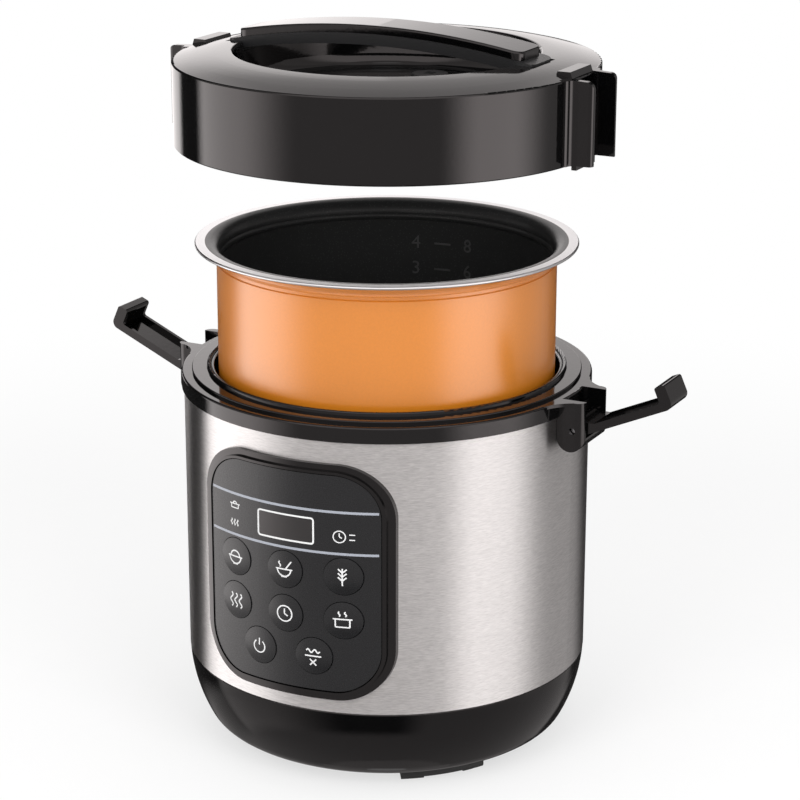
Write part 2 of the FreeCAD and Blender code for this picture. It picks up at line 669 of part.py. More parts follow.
# Lug at +X: two cheeks that sweep out of a low pilaster, the channel's floor with its tongue, and a hood
def lid_lug():
    hem = LID_Z0 + 0.6
    top = LUG_TOP_Z
    side = through_y(outline([
        (88, hem), (LUG_X, hem), (LUG_X, top - 4.0), ((LUG_X - 1.1, top - 1.4), (LUG_X - 4, top - 0.4)),
        (96.5, top), (88, top + 0.6),
    ]), -40, 40)
    r = LUG_ROUND
    d = r * (1 - math.sqrt(0.5))
    x = math.sqrt(PILASTER_R ** 2 - PILASTER_Y ** 2)
    out = x + 0.6
    soft = 2.0
    k = soft * (1 - math.sqrt(0.5))
    cheek = plan([
        (88, LUG_Y0), (LUG_X, LUG_Y0), (LUG_X, LUG_Y1 - soft),
        ((LUG_X - k, LUG_Y1 - k), (LUG_X - soft, LUG_Y1)),
        (out + r, LUG_Y1), ((out + d, LUG_Y1 + d), (out, LUG_Y1 + r)), (x, PILASTER_Y), (88, PILASTER_Y),
    ], hem, 240).common(side)
    floor = box(90, LUG_FLOOR_X, -LUG_Y0, LUG_Y0, hem, WINDOW_Z1)
    tongue = box(90, LUG_FLOOR_X, -TONGUE_HALF_W, TONGUE_HALF_W, TONGUE_Z0, hem)
    tongue = tongue.cut(rod(LID_R - 0.5, 0, 0, 170, 20))
    hood = through_y(outline([
        (88.2, top + 0.2), (89.4, top + 2.7), (95.4, top + 2.7), (96.4, top - 0.2),
        (96.4, top - 3.2), (88.2, top - 3.2),
    ]), -LUG_Y0, LUG_Y0)
    lug = joined(cheek, mirrored(cheek, ALONG_Y), floor, tongue, hood)
    return lug.cut(rod(91.9, 0, 0, 170, 22))


def arched(half_l, half_w, depth, thick, corner):
    """Bar along X with round corners in plan, bent to the handle's arch at a depth below its top."""
    z = HANDLE_TOP_Z - HANDLE_ARCH_R
    drum = rod(HANDLE_ARCH_R - depth, 0, -60, z, 120, ALONG_Y)
    core = rod(HANDLE_ARCH_R - depth - thick, 0, -61, z, 122, ALONG_Y)
    sheet = rounded(half_w, -half_l, half_l, corner)
    sheet.rotate(ORIGIN, FreeCAD.Vector(1, 0, 0), -90)
    sheet.rotate(ORIGIN, UP, 90)
    sheet.translate(FreeCAD.Vector(0, 0, 205))
    bar = Part.Face(sheet).extrude(FreeCAD.Vector(0, 0, 40))
    return bar.common(drum.cut(core))


# Grip that crosses the well and stands in the annulus at both ends
def handle_grip():
    grip = arched(GRIP_HALF_L, GRIP_HALF_W, CAP_T, GRIP_T, 5.0)
    foot = box(70.4, GRIP_HALF_L - 0.3, -8.5, 8.5, NOTCH_Z, NOTCH_Z + 3.9)
    pilot = rod(1.6, HANDLE_SCREW_X, 0, NOTCH_Z - 12, 16.9)
    return joined(grip, foot, mirrored(foot)).cut(pilot).cut(mirrored(pilot))


# Gloss cap over the grip
def handle_cap():
    cap = arched(CAP_HALF_L, CAP_HALF_W, 0, CAP_T - 0.05, 5.0)
    rim = [e for e in cap.Edges if on_top(e)]
    return cap.makeFillet(1.0, rim)


def on_top(edge):
    """Does an edge lie on the handle's upper face?"""
    reach = [math.hypot(v.Point.x, v.Point.z - HANDLE_TOP_Z + HANDLE_ARCH_R) for v in edge.Vertexes]
    return min(reach) > HANDLE_ARCH_R - 0.1


# Screws that hold the grip from below
def handle_screws():
    x = HANDLE_SCREW_X
    z = HANDLE_SCREW_Z
    screw = joined(rod(3.3, x, 0, z, 2.6), rod(1.5, x, 0, z + 2, NOTCH_Z + 2.4 - z))
    return Part.Compound([screw, mirrored(screw)])


# Flush steam outlet in the well, with three slots, and its stem through the lid
def steam_vent():
    z = WELL_FLOOR_Z
    cap = turned([(0, z), (9.0, z), (9.0, z + 0.7), (8.4, z + 1.3), (0, z + 1.5)])
    vent = joined(cap, rod(5.0, 0, 0, z - 9, 9.5)).cut(rod(3.2, 0, 0, z - 20, 20.4))
    slots = [box(-2.5, 2.5, y - 0.5, y + 0.5, z - 1, z + 4) for y in (-1.7, 0, 1.7)]
    vent = vent.cut(Part.Compound(slots))
    vent.translate(FreeCAD.Vector(0, VENT_Y, 0))
    return vent


# Detachable inner cover: a shallow pressed dish with holes for steam
def inner_cover():
    t = COVER_TOP_Z
    dish = turned([
        (3.2, t - 1), (52, t - 1), ((60, t - 1.4), (66, t - 2.6)), (77.6, t - 4.8),
        (77.6, t - 3.8), (66.4, t - 1.6), ((60.3, t - 0.3), (52, t)), (3.2, t),
    ])
    holes = [rod(1.6, 0, VENT_Y + y, t - 6, 12) for y in (-5, 0, 5)]
    return dish.cut(Part.Compound(holes))


# Seal held in the lid's step, with a lip that meets the pot's flange
def lid_gasket():
    s = SEAL_STEP_Z
    return turned([
        (83.6, s - 3.0), ((85.4, s - 4.3), (87.2, s - 3.6)), (88.2, s - 2.0), (90.4, s - 1.6),
        (90.4, s), (83.6, s),
    ])


# Knob that clamps the inner cover to the lid
def cover_knob():
    seat = COVER_TOP_Z - 1
    knob = turned([
        (0, seat - 5.6), (7.0, seat - 5.6), ((8.6, seat - 5.0), (9.0, seat - 3.6)), (9.0, seat),
        (2.5, seat), (2.5, seat + 8), (0, seat + 8),
    ])
    flutes = spun(rod(2.0, 10.2, 0, seat - 10, 20), 8)
    return knob.cut(Part.Compound(flutes))


BODY = {
    "base_shell": base_shell, "feet": feet, "base_screws": base_screws, "steel_band": steel_band,
    "top_ring": top_ring, "inner_liner": inner_liner, "heat_shield": heat_shield,
    "insulation_wrap": insulation_wrap, "heating_plate": heating_plate, "heating_element": heating_element,
    "sensor_bracket": sensor_bracket, "sensor_spring": sensor_spring, "thermo_sensor": thermo_sensor,
    "thermal_fuse": thermal_fuse, "power_board": power_board, "power_components": power_components,
    "panel_bezel": panel_bezel, "panel_face": panel_face, "display_window": display_window,
    "display_module": display_module, "control_board": control_board, "key_switches": key_switches,
    "power_inlet": power_inlet, "inlet_pins": inlet_pins,
}
PAIRS = {"latch_pin": latch_pin, "latch": latch}
POT = {"inner_pot": inner_pot}
LID = {
    "lid_shell": lid_shell, "handle_grip": handle_grip, "handle_cap": handle_cap,
    "handle_screws": handle_screws, "steam_vent": steam_vent, "inner_cover": inner_cover,
    "lid_gasket": lid_gasket, "cover_knob": cover_knob,
}


def save(name, shape, lift=0.0):
    shape.translate(FreeCAD.Vector(0, 0, lift))
    shape.exportStep(f"parts/{name}.step")
    size = f"{shape.Volume / 1000:.2f} cm3, {shape.Area / 100:.1f} cm2"
    print(f"{name}: {len(shape.Solids)} solid(s), {size}, valid {shape.isValid()}")


def main():
    os.makedirs("parts", exist_ok=True)
    for name, make in BODY.items():
        save(name, make())
    for name, make in PAIRS.items():
        save(f"{name}_right", make())
        save(f"{name}_left", mirrored(make()))
    for number, (deg, z) in enumerate(BUTTON_SPOTS, 1):
        save(f"button_{number}", button(deg, z))
    for name, make in POT.items():
        save(name, make(), POT_LIFT)
    for name, make in LID.items():
        save(name, make(), POT_LIFT + LID_LIFT)


main()
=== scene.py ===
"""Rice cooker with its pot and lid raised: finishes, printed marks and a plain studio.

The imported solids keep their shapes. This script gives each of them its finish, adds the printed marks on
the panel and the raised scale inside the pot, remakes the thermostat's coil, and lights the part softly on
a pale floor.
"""
import logging
import math
from dataclasses import dataclass
from enum import Enum
from typing import Callable, Optional, Sequence, Union

import bmesh
import bpy
import numpy as np
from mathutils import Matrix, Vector


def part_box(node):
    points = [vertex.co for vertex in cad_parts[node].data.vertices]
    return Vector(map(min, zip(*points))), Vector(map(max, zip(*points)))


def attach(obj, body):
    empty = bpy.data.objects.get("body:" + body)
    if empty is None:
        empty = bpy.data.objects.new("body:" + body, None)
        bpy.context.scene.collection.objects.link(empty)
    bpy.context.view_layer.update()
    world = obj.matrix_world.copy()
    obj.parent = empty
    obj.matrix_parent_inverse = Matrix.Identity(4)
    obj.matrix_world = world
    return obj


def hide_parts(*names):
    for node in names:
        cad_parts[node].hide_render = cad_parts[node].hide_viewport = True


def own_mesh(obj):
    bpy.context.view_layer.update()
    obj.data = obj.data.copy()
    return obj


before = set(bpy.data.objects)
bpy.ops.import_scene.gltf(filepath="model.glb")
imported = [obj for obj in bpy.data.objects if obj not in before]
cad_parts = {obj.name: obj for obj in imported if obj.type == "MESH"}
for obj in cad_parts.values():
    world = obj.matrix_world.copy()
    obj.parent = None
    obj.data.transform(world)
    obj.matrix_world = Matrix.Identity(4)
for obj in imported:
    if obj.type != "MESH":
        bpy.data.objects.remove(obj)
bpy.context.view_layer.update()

MM = 0.001
SHOWN_TO = ("Is Camera Ray", "Is Glossy Ray", "Is Transmission Ray")
LOG = logging.getLogger("rice_cooker")

Pair = tuple[float, float]
Triple = tuple[float, float, float]
Number = Union[float, "Value"]
Surface = Callable[[np.ndarray, np.ndarray, float], np.ndarray]


class Value:
    """A node socket that works in Python arithmetic; each operation adds one Math node."""

    def __init__(self, nodes: "Nodes", socket: bpy.types.NodeSocket) -> None:
        """Keep the socket and the tree that it belongs to."""
        self.nodes = nodes
        self.socket = socket

    def math(self, operation: str, first: Number, second: Number = 0.0) -> "Value":
        """Add a Math node.

        Args:
            operation: the node's operation, such as ADD.
            first: its first input.
            second: its second input.

        Returns:
            The node's result.
        """
        return self.nodes.node("ShaderNodeMath", {"operation": operation}, {0: first, 1: second})

    def __add__(self, other: Number) -> "Value":
        """Sum of two values."""
        return self.math("ADD", self, other)

    __radd__ = __add__

    def __sub__(self, other: Number) -> "Value":
        """Difference of two values."""
        return self.math("SUBTRACT", self, other)

    def __rsub__(self, other: Number) -> "Value":
        """Difference, with a plain number first."""
        return self.math("SUBTRACT", other, self)

    def __mul__(self, other: Number) -> "Value":
        """Product of two values."""
        return self.math("MULTIPLY", self, other)

    __rmul__ = __mul__

    def at_least(self, other: Number) -> "Value":
        """The greater of two values."""
        return self.math("MAXIMUM", self, other)

    def hypotenuse(self, other: "Value") -> "Value":
        """Square root of the sum of two squares."""
        total = self * self + other * other
        return self.math("SQRT", total)

    def about(self, middle: float, swing: float) -> "Value":
        """A value of 0 to 1 as the middle, less or plus half the swing."""
        return middle + swing * (self - 0.5)

    def towards(self, other: "Value", mask: "Value") -> "Value":
        """Part of the way to another value, and all of it where the mask is 1."""
        return self + mask * (other - self)

    def above(self, low: float, high: float) -> "Value":
        """Smooth step.

        Args:
            low: where the step starts from 0.
            high: where it reaches 1; below low, it falls instead of rising.

        Returns:
            A mask from 0 to 1.
        """
        rising = low < high
        ends = (low, high) if rising else (high, low)
        reach = (0.0, 1.0) if rising else (1.0, 0.0)
        return self.nodes.node(
            "ShaderNodeMapRange",
            {"interpolation_type": "SMOOTHSTEP"},
            {"Value": self, "From Min": ends[0], "From Max": ends[1], "To Min": reach[0], "To Max": reach[1]},
        )


class Nodes:
    """A node tree, of a material or of the world."""

    def __init__(self, tree: bpy.types.NodeTree) -> None:
        """Keep the tree."""
        self.tree = tree

    def feed(self, socket: bpy.types.NodeSocket, value: object) -> None:
        """Link a value to a socket, or set the socket's own number or colour.

        Args:
            socket: the input.
            value: a Value to link, or what to set.
        """
        if isinstance(value, Value):
            self.tree.links.new(value.socket, socket)
        elif isinstance(value, tuple) and len(value) == 3 and socket.type == "RGBA":
            socket.default_value = (*value, 1.0)
        else:
            socket.default_value = value

    def node(
        self,
        kind: str,
        settings: Optional[dict[str, object]] = None,
        inputs: Optional[dict[Union[str, int], object]] = None,
        output: Union[str, int] = 0,
    ) -> Value:
        """Add any node.

        Args:
            kind: the node's type.
            settings: its properties, set first.
            inputs: the values or links of its sockets, by name or number.
            output: which of its outputs is wanted.

        Returns:
            That output.
        """
        made = self.tree.nodes.new(kind)
        for key, value in (settings or {}).items():
            setattr(made, key, value)
        for key, value in (inputs or {}).items():
            self.feed(made.inputs[key], value)
        return Value(self, made.outputs[output])

    def seen(self) -> Value:
        """A mask that is 1 for rays that show the background: seen directly, mirrored or through glass."""
        direct, mirrored, through = (self.node("ShaderNodeLightPath", output=ray) for ray in SHOWN_TO)
        return direct.at_least(mirrored).at_least(through)


class Shader(Nodes):
    """A material's node tree round one Principled shader."""

    def __init__(self, name: str) -> None:
        """Make the material and its shader.

        Args:
            name: the material's name.
        """
        self.material = bpy.data.materials.new(name)
        self.material.use_nodes = True
        super().__init__(self.material.node_tree)
        self.tree.nodes.clear()
        self.output = self.tree.nodes.new("ShaderNodeOutputMaterial")
        self.surface = self.tree.nodes.new("ShaderNodeBsdfPrincipled")
        self.tree.links.new(self.surface.outputs["BSDF"], self.output.inputs["Surface"])

    def place(self) -> tuple[Value, Value, Value, Value]:
        """Read Object coordinates.

        Returns:
            The point, then its x, y and z.
        """
        point = self.node("ShaderNodeTexCoord", output="Object")
        axes = [self.node("ShaderNodeSeparateXYZ", inputs={0: point}, output=i) for i in range(3)]
        return point, *axes

    def noise(self, point: Value, scale: float, detail: float = 2.0, roughness: float = 0.5) -> Value:
        """Soft noise from 0 to 1.

        Args:
            point: where it is read.
            scale: features to the metre.
            detail: how many finer layers it has.
            roughness: how strong those are.

        Returns:
            The noise.
        """
        inputs = {"Vector": point, "Scale": scale, "Detail": detail, "Roughness": roughness}
        return self.node("ShaderNodeTexNoise", None, inputs)

    def streaks(self, point: Value, scale: Triple, detail: float = 2.0, roughness: float = 0.5) -> Value:
        """Noise with its own number of features to the metre on each axis, for a pattern that runs one way."""
        stretched = self.node("ShaderNodeMapping", inputs={"Vector": point, "Scale": scale})
        return self.noise(stretched, 1.0, detail, roughness)

    def rings(self, radius: Value, z: Value, scale: Pair) -> Value:
        """Noise that is even round the Z axis, with so many features to the metre outwards and upwards."""
        turned = {0: radius * scale[0], 1: z * scale[1], 2: 0.0}
        return self.noise(self.node("ShaderNodeCombineXYZ", inputs=turned), 1.0)

    def specks(self, point: Value, scale: float, size: float) -> Value:
        """Round specks, one to a cell: 1 within a share of the cell's middle, else 0."""
        cell = self.node("ShaderNodeTexVoronoi", None, {"Vector": point, "Scale": scale})
        return cell.above(size, size * 0.5)

    def mixed(self, mask: Number, first: object, second: object) -> Value:
        """A colour between two, by a mask."""
        inputs = {0: mask, 6: first, 7: second}
        return self.node("ShaderNodeMix", {"data_type": "RGBA"}, inputs, output=2)

    def bumped(self, height: Value, strength: float, distance: float) -> Value:
        """A normal tilted by a height, for the Normal socket."""
        inputs = {"Height": height, "Strength": strength, "Distance": distance}
        return self.node("ShaderNodeBump", None, inputs, "Normal")

    def dress(self, **inputs: object) -> bpy.types.Material:
        """Set the Principled shader's sockets.

        Args:
            inputs: values or links by socket name, with _ for a space.

        Returns:
            The finished material.
        """
        for key, value in inputs.items():
            self.feed(self.surface.inputs[key.replace("_", " ")], value)
        return self.material


def toned(colour: Triple, gain: float, lift: float = 0.0) -> Triple:
    """The colour times a gain, plus a lift, and 1 at most."""
    return tuple(min(1.0, c * gain + lift) for c in colour)


@dataclass(frozen=True)
class Finish:
    """What a surface is made of; each kind makes its own material."""

    name: str
    colour: Triple
    roughness: float

    def material(self) -> bpy.types.Material:
        """Make the material."""
        raise NotImplementedError


@dataclass(frozen=True)
class GlossPlastic(Finish):
    """Polished moulding: nearly even, with a faint orange peel and handling haze."""

    haze: float = 0.04
    cloud_scale: float = 22.0
    cloud_gain: float = 1.6
    cloud_lift: float = 0.0005
    peel: float = 0.03
    peel_scale: float = 420.0
    peel_depth: float = 0.4 * MM
    sheen: Triple = (1.0, 0.945, 0.945)

    def material(self) -> bpy.types.Material:
        """Make the material.

        Returns:
            The finished material.
        """
        s = Shader(self.name)
        point, *_ = s.place()
        cloud = s.noise(point, self.cloud_scale, detail=3.0)
        peel = s.noise(point, self.peel_scale, detail=1.0)
        return s.dress(
            Base_Color=s.mixed(cloud, self.colour, toned(self.colour, self.cloud_gain, self.cloud_lift)),
            Roughness=cloud.about(self.roughness, self.haze),
            Specular_Tint=self.sheen,
            Normal=s.bumped(peel, self.peel, self.peel_depth),
        )


@dataclass(frozen=True)
class SatinPlastic(Finish):
    """Spark-eroded moulding: a fine even grain."""

    grain: float = 0.12
    grain_scale: float = 1500.0
    grain_depth: float = 0.3 * MM
    grain_share: float = 0.6
    grain_haze: float = 0.08
    cloud_scale: float = 30.0
    lighter: float = 1.25

    def material(self) -> bpy.types.Material:
        """Make the material.

        Returns:
            The finished material.
        """
        s = Shader(self.name)
        point, *_ = s.place()
        cloud = s.noise(point, self.cloud_scale)
        grain = s.noise(point, self.grain_scale, roughness=0.6)
        tone = grain * self.grain_share + cloud * (1.0 - self.grain_share)
        return s.dress(
            Base_Color=s.mixed(tone, self.colour, toned(self.colour, self.lighter)),
            Roughness=grain.about(self.roughness, self.grain_haze),
            Normal=s.bumped(grain, self.grain, self.grain_depth),
        )


@dataclass(frozen=True)
class BrushedSteel(Finish):
    """Stainless sheet brushed round the casing: short fine streaks, with coarser ones among them."""

    streak: float = 0.10
    streak_depth: float = 0.2 * MM
    streak_haze: float = 0.06
    fine_scale: Triple = (290.0, 290.0, 3400.0)
    fine_share: float = 0.82
    coarse_scale: Triple = (70.0, 70.0, 900.0)
    contrast: Pair = (0.25, 0.75)
    darker: float = 0.84
    lighter: float = 1.16
    blur: float = 0.97
    blur_turn: float = 0.25

    def material(self) -> bpy.types.Material:
        """Make the material.

        Returns:
            The finished material.
        """
        s = Shader(self.name)
        point, *_ = s.place()
        fine = s.streaks(point, self.fine_scale, roughness=0.6)
        coarse = s.streaks(point, self.coarse_scale)
        streaks = (fine * self.fine_share + coarse * (1.0 - self.fine_share)).above(*self.contrast)
        return s.dress(
            Base_Color=s.mixed(streaks, toned(self.colour, self.darker), toned(self.colour, self.lighter)),
            Metallic=1.0,
            Roughness=streaks.about(self.roughness, self.streak_haze),
            Anisotropic=self.blur,
            Anisotropic_Rotation=self.blur_turn,
            Normal=s.bumped(fine, self.streak, self.streak_depth),
        )


@dataclass(frozen=True)
class SheetMetal(Finish):
    """Pressed, cast or plated metal with faint rings from drawing or turning."""

    rings: float = 900.0
    bump: float = 0.05
    bump_depth: float = 0.2 * MM
    cloud_scale: float = 40.0
    cloud_haze: float = 0.12
    darker: float = 0.82

    def material(self) -> bpy.types.Material:
        """Make the material.

        Returns:
            The finished material.
        """
        s = Shader(self.name)
        point, x, y, z = s.place()
        lines = s.rings(x.hypotenuse(y), z, (self.rings, self.rings))
        cloud = s.noise(point, self.cloud_scale)
        return s.dress(
            Base_Color=s.mixed((lines + cloud) * 0.5, toned(self.colour, self.darker), self.colour),
            Metallic=1.0,
            Roughness=cloud.about(self.roughness, self.cloud_haze),
            Normal=s.bumped(lines, self.bump, self.bump_depth),
        )


@dataclass(frozen=True)
class PotCoating(Finish):
    """Copper-coloured lacquer outside, bare spun flange, speckled black non-stick inside.

    The wall's middle line parts inside from outside. In the rolled mouth it is a circle about the roll's
    centre, and in the bottom corner a circle about the corner's centre.
    """

    rim: Triple = (0.85, 0.85, 0.86)
    rim_roughness: float = 0.30
    rim_haze: float = 0.16
    lining: Triple = (0.024, 0.024, 0.024)
    lining_speck: Triple = (0.045, 0.045, 0.045)
    lining_roughness: float = 0.32
    lining_haze: float = 0.12
    mouth_radius: float = 83.3 * MM
    mouth_depth: float = 6.0 * MM
    mouth_line: float = 5.25 * MM
    corner_radius: float = 67.0 * MM
    corner_height: float = 12.2 * MM
    corner_line: float = 11.15 * MM
    flange_start: float = 84.2 * MM
    edge: float = 0.06 * MM
    flake_scale: float = 1000.0
    flake_share: float = 0.7
    flake_haze: float = 0.10
    cloud_scale: float = 25.0
    speck_scale: float = 750.0
    speck_size: float = 0.30
    spun_scale: Pair = (2600.0, 900.0)
    deeper: float = 0.80
    metal: float = 0.10
    specular: float = 0.3
    coat_roughness: float = 0.28
    coat_index: float = 1.8
    bump: float = 0.06
    bump_depth: float = 0.3 * MM

    def lined_part(self, radius: Value, z: Value) -> Value:
        """Where the black lining is.

        Args:
            radius: distance from the pot's axis.
            z: height.

        Returns:
            A mask from 0 to 1.
        """
        low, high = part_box("inner_pot")
        inwards = (self.mouth_radius - radius).at_least(0.0)
        upwards = (z - (high.z - self.mouth_depth)).at_least(0.0)
        from_mouth = inwards.hypotenuse(upwards)
        outwards = (radius - self.corner_radius).at_least(0.0)
        downwards = (low.z + self.corner_height - z).at_least(0.0)
        from_corner = outwards.hypotenuse(downwards)
        inner = from_mouth.above(self.mouth_line - self.edge, self.mouth_line + self.edge)
        over_floor = from_corner.above(self.corner_line + self.edge, self.corner_line - self.edge)
        upper = z.above(low.z + self.corner_height, low.z + 2 * self.corner_height)
        return inner * over_floor.at_least(upper)

    def material(self) -> bpy.types.Material:
        """Make the material.

        Returns:
            The finished material.
        """
        s = Shader(self.name)
        point, x, y, z = s.place()
        radius = x.hypotenuse(y)
        bare = radius.above(self.flange_start - self.edge, self.flange_start + self.edge)
        lined = self.lined_part(radius, z) * (1.0 - bare)
        flake = s.noise(point, self.flake_scale, roughness=0.6)
        cloud = s.noise(point, self.cloud_scale)
        speck = s.specks(point, self.speck_scale, self.speck_size)
        spun = s.rings(radius, z, self.spun_scale)
        tone = flake * self.flake_share + cloud * (1.0 - self.flake_share)
        lacquer = s.mixed(tone, toned(self.colour, self.deeper), self.colour)
        lining = s.mixed(speck, self.lining, self.lining_speck)
        flange = s.mixed(spun, toned(self.rim, self.deeper), self.rim)
        rough = flake.about(self.roughness, self.flake_haze)
        rough = rough.towards(spun.about(self.rim_roughness, self.rim_haze), bare)
        rough = rough.towards(flake.about(self.lining_roughness, self.lining_haze), lined)
        return s.dress(
            Base_Color=s.mixed(lined, s.mixed(bare, lacquer, flange), lining),
            Metallic=(1.0 - lined) * (self.metal + (1.0 - self.metal) * bare),
            Roughness=rough,
            Coat_Weight=(1.0 - lined) * (1.0 - bare),
            Coat_Roughness=self.coat_roughness,
            Coat_IOR=self.coat_index,
            Specular_IOR_Level=self.specular,
            Normal=s.bumped(flake.towards(spun, bare), self.bump, self.bump_depth),
        )


@dataclass(frozen=True)
class Rubber(Finish):
    """Moulded rubber or silicone: soft grain, no shine."""

    grain: float = 0.15
    grain_scale: float = 700.0
    grain_depth: float = 0.3 * MM
    grain_haze: float = 0.1
    cloud_scale: float = 60.0
    cloud_gain: float = 1.35
    cloud_lift: float = 0.004

    def material(self) -> bpy.types.Material:
        """Make the material.

        Returns:
            The finished material.
        """
        s = Shader(self.name)
        point, *_ = s.place()
        grain = s.noise(point, self.grain_scale, detail=3.0)
        cloud = s.noise(point, self.cloud_scale)
        return s.dress(
            Base_Color=s.mixed(cloud, self.colour, toned(self.colour, self.cloud_gain, self.cloud_lift)),
            Roughness=grain.about(self.roughness, self.grain_haze),
            Normal=s.bumped(grain, self.grain, self.grain_depth),
        )


@dataclass(frozen=True)
class Felt(Finish):
    """Matted mineral fibre."""

    fibre: float = 0.5
    fibre_scale: Triple = (300.0, 300.0, 900.0)
    fibre_depth: float = 0.8 * MM
    darker: float = 0.7

    def material(self) -> bpy.types.Material:
        """Make the material.

        Returns:
            The finished material.
        """
        s = Shader(self.name)
        point, *_ = s.place()
        fibre = s.streaks(point, self.fibre_scale, detail=4.0, roughness=0.7)
        return s.dress(
            Base_Color=s.mixed(fibre, toned(self.colour, self.darker), self.colour),
            Roughness=self.roughness,
            Normal=s.bumped(fibre, self.fibre, self.fibre_depth),
        )


@dataclass(frozen=True)
class Board(Finish):
    """Laminated circuit board: blocky traces under its lacquer."""

    trace: float = 0.2
    trace_scale: float = 260.0
    trace_size: float = 0.6
    trace_depth: float = 0.2 * MM
    trace_haze: float = 0.1
    lighter: float = 1.7

    def material(self) -> bpy.types.Material:
        """Make the material.

        Returns:
            The finished material.
        """
        s = Shader(self.name)
        point, *_ = s.place()
        traces = s.specks(point, self.trace_scale, self.trace_size)
        return s.dress(
            Base_Color=s.mixed(traces, self.colour, toned(self.colour, self.lighter)),
            Roughness=self.roughness + self.trace_haze * traces,
            Normal=s.bumped(traces, self.trace, self.trace_depth),
        )


@dataclass(frozen=True)
class Ink(Finish):
    """Screen-printed ink, a little uneven."""

    cover_scale: float = 900.0
    cover_haze: float = 0.1
    darker: float = 0.88

    def material(self) -> bpy.types.Material:
        """Make the material.

        Returns:
            The finished material.
        """
        s = Shader(self.name)
        point, *_ = s.place()
        cover = s.noise(point, self.cover_scale)
        return s.dress(
            Base_Color=s.mixed(cover, toned(self.colour, self.darker), self.colour),
            Roughness=cover.about(self.roughness, self.cover_haze),
        )


GLOSS_BLACK = GlossPlastic("gloss_black", (0.0012, 0.0012, 0.0013), 0.07, haze=0.03)
MATT_BLACK = SatinPlastic("matt_black", (0.010, 0.010, 0.0105), 0.34)
PANEL_SATIN = SatinPlastic("panel_satin", (0.009, 0.009, 0.010), 0.28, grain=0.08)
BUTTON_SATIN = SatinPlastic("button_satin", (0.009, 0.009, 0.010), 0.28, grain=0.06)
SMOKED_WINDOW = GlossPlastic("smoked_window", (0.018, 0.017, 0.017), 0.20)
BRUSHED_STEEL = BrushedSteel("brushed_steel", (0.76, 0.75, 0.745), 0.36)
COPPER_POT = PotCoating("copper_pot", (0.75, 0.236, 0.012), 0.44)
PRESSED_ALUMINIUM = SheetMetal("pressed_aluminium", (0.72, 0.72, 0.73), 0.34)
CAST_ALUMINIUM = SheetMetal("cast_aluminium", (0.55, 0.55, 0.56), 0.42, rings=500.0, bump=0.12)
ZINC_STEEL = SheetMetal("zinc_steel", (0.62, 0.62, 0.64), 0.30)
PIN_BRASS = SheetMetal("pin_brass", (0.74, 0.58, 0.28), 0.28)
FOOT_RUBBER = Rubber("foot_rubber", (0.012, 0.012, 0.012), 0.62)
SEAL_SILICONE = Rubber("seal_silicone", (0.42, 0.42, 0.42), 0.45)
MINERAL_FELT = Felt("mineral_felt", (0.68, 0.66, 0.60), 0.95)
BOARD_GREEN = Board("board_green", (0.03, 0.14, 0.06), 0.40)
BOARD_PARTS = SatinPlastic("board_parts", (0.05, 0.05, 0.05), 0.45)
WHITE_INK = Ink("white_ink", (0.80, 0.80, 0.80), 0.45)
STRIPE_INK = Ink("stripe_ink", (0.36, 0.38, 0.43), 0.30)
POT_MARK_INK = GlossPlastic("pot_mark", (0.05, 0.05, 0.05), 0.28)

NODE_FINISHES: dict[Finish, tuple[str, ...]] = {
    GLOSS_BLACK: (
        "base_shell", "top_ring", "panel_bezel", "lid_shell", "handle_cap", "latch_left", "latch_right",
    ),
    MATT_BLACK: ("handle_grip", "steam_vent", "cover_knob", "power_inlet"),
    PANEL_SATIN: ("panel_face",),
    BUTTON_SATIN: tuple(f"button_{n}" for n in range(1, 9)),
    SMOKED_WINDOW: ("display_window",),
    BRUSHED_STEEL: ("steel_band",),
    COPPER_POT: ("inner_pot",),
    PRESSED_ALUMINIUM: ("inner_liner", "heat_shield", "inner_cover"),
    CAST_ALUMINIUM: ("heating_plate", "thermo_sensor"),
    ZINC_STEEL: (
        "base_screws", "heating_element", "sensor_bracket", "sensor_spring", "latch_pin_left",
        "latch_pin_right", "handle_screws",
    ),
    PIN_BRASS: ("inlet_pins",),
    FOOT_RUBBER: ("feet",),
    SEAL_SILICONE: ("lid_gasket",),
    MINERAL_FELT: ("insulation_wrap",),
    BOARD_GREEN: ("power_board", "control_board"),
    BOARD_PARTS: ("thermal_fuse", "power_components", "display_module", "key_switches"),
}


class Wardrobe:
    """Makes each finish's material once and hands it out."""

    def __init__(self) -> None:
        """Start with nothing made."""
        self.made: dict[Finish, bpy.types.Material] = {}

    def material(self, finish: Finish) -> bpy.types.Material:
        """Make the finish's material on first use.

        Args:
            finish: what is wanted.

        Returns:
            Its material.
        """
        if finish not in self.made:
            self.made[finish] = finish.material()
        return self.made[finish]

    def dress(self, piece: bpy.types.Object, finish: Finish) -> None:
        """Give a piece one finish all over."""
        piece.data.materials.clear()
        piece.data.materials.append(self.material(finish))

    def dress_nodes(self) -> None:
        """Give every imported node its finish."""
        for finish, names in NODE_FINISHES.items():
            for name in names:
                self.dress(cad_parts[name], finish)
                LOG.info("%s: %s", name, finish.name)


def linked(name: str, data: bpy.types.ID) -> bpy.types.Object:
    """Make an object at the origin and put it in the scene.

    Args:
        name: the object's name.
        data: its mesh, curve, lamp or camera.

    Returns:
        The new object.
    """
    made = bpy.data.objects.new(name, data)
    bpy.context.scene.collection.objects.link(made)
    return made


def piece_from(name: str, points: np.ndarray, faces: np.ndarray, smooth: bool = True) -> bpy.types.Object:
    """Put arrays into a mesh object at the origin.

    Args:
        name: the piece's name.
        points: vertices, n by 3, in metres.
        faces: four vertex numbers to a face.
        smooth: whether its faces shade smoothly.

    Returns:
        The new object, linked to the scene.
    """
    mesh = bpy.data.meshes.new(name)
    mesh.from_pydata(points.tolist(), [], faces.tolist())
    mesh.polygons.foreach_set("use_smooth", np.full(len(faces), smooth))
    mesh.update()
    return linked(name, mesh)


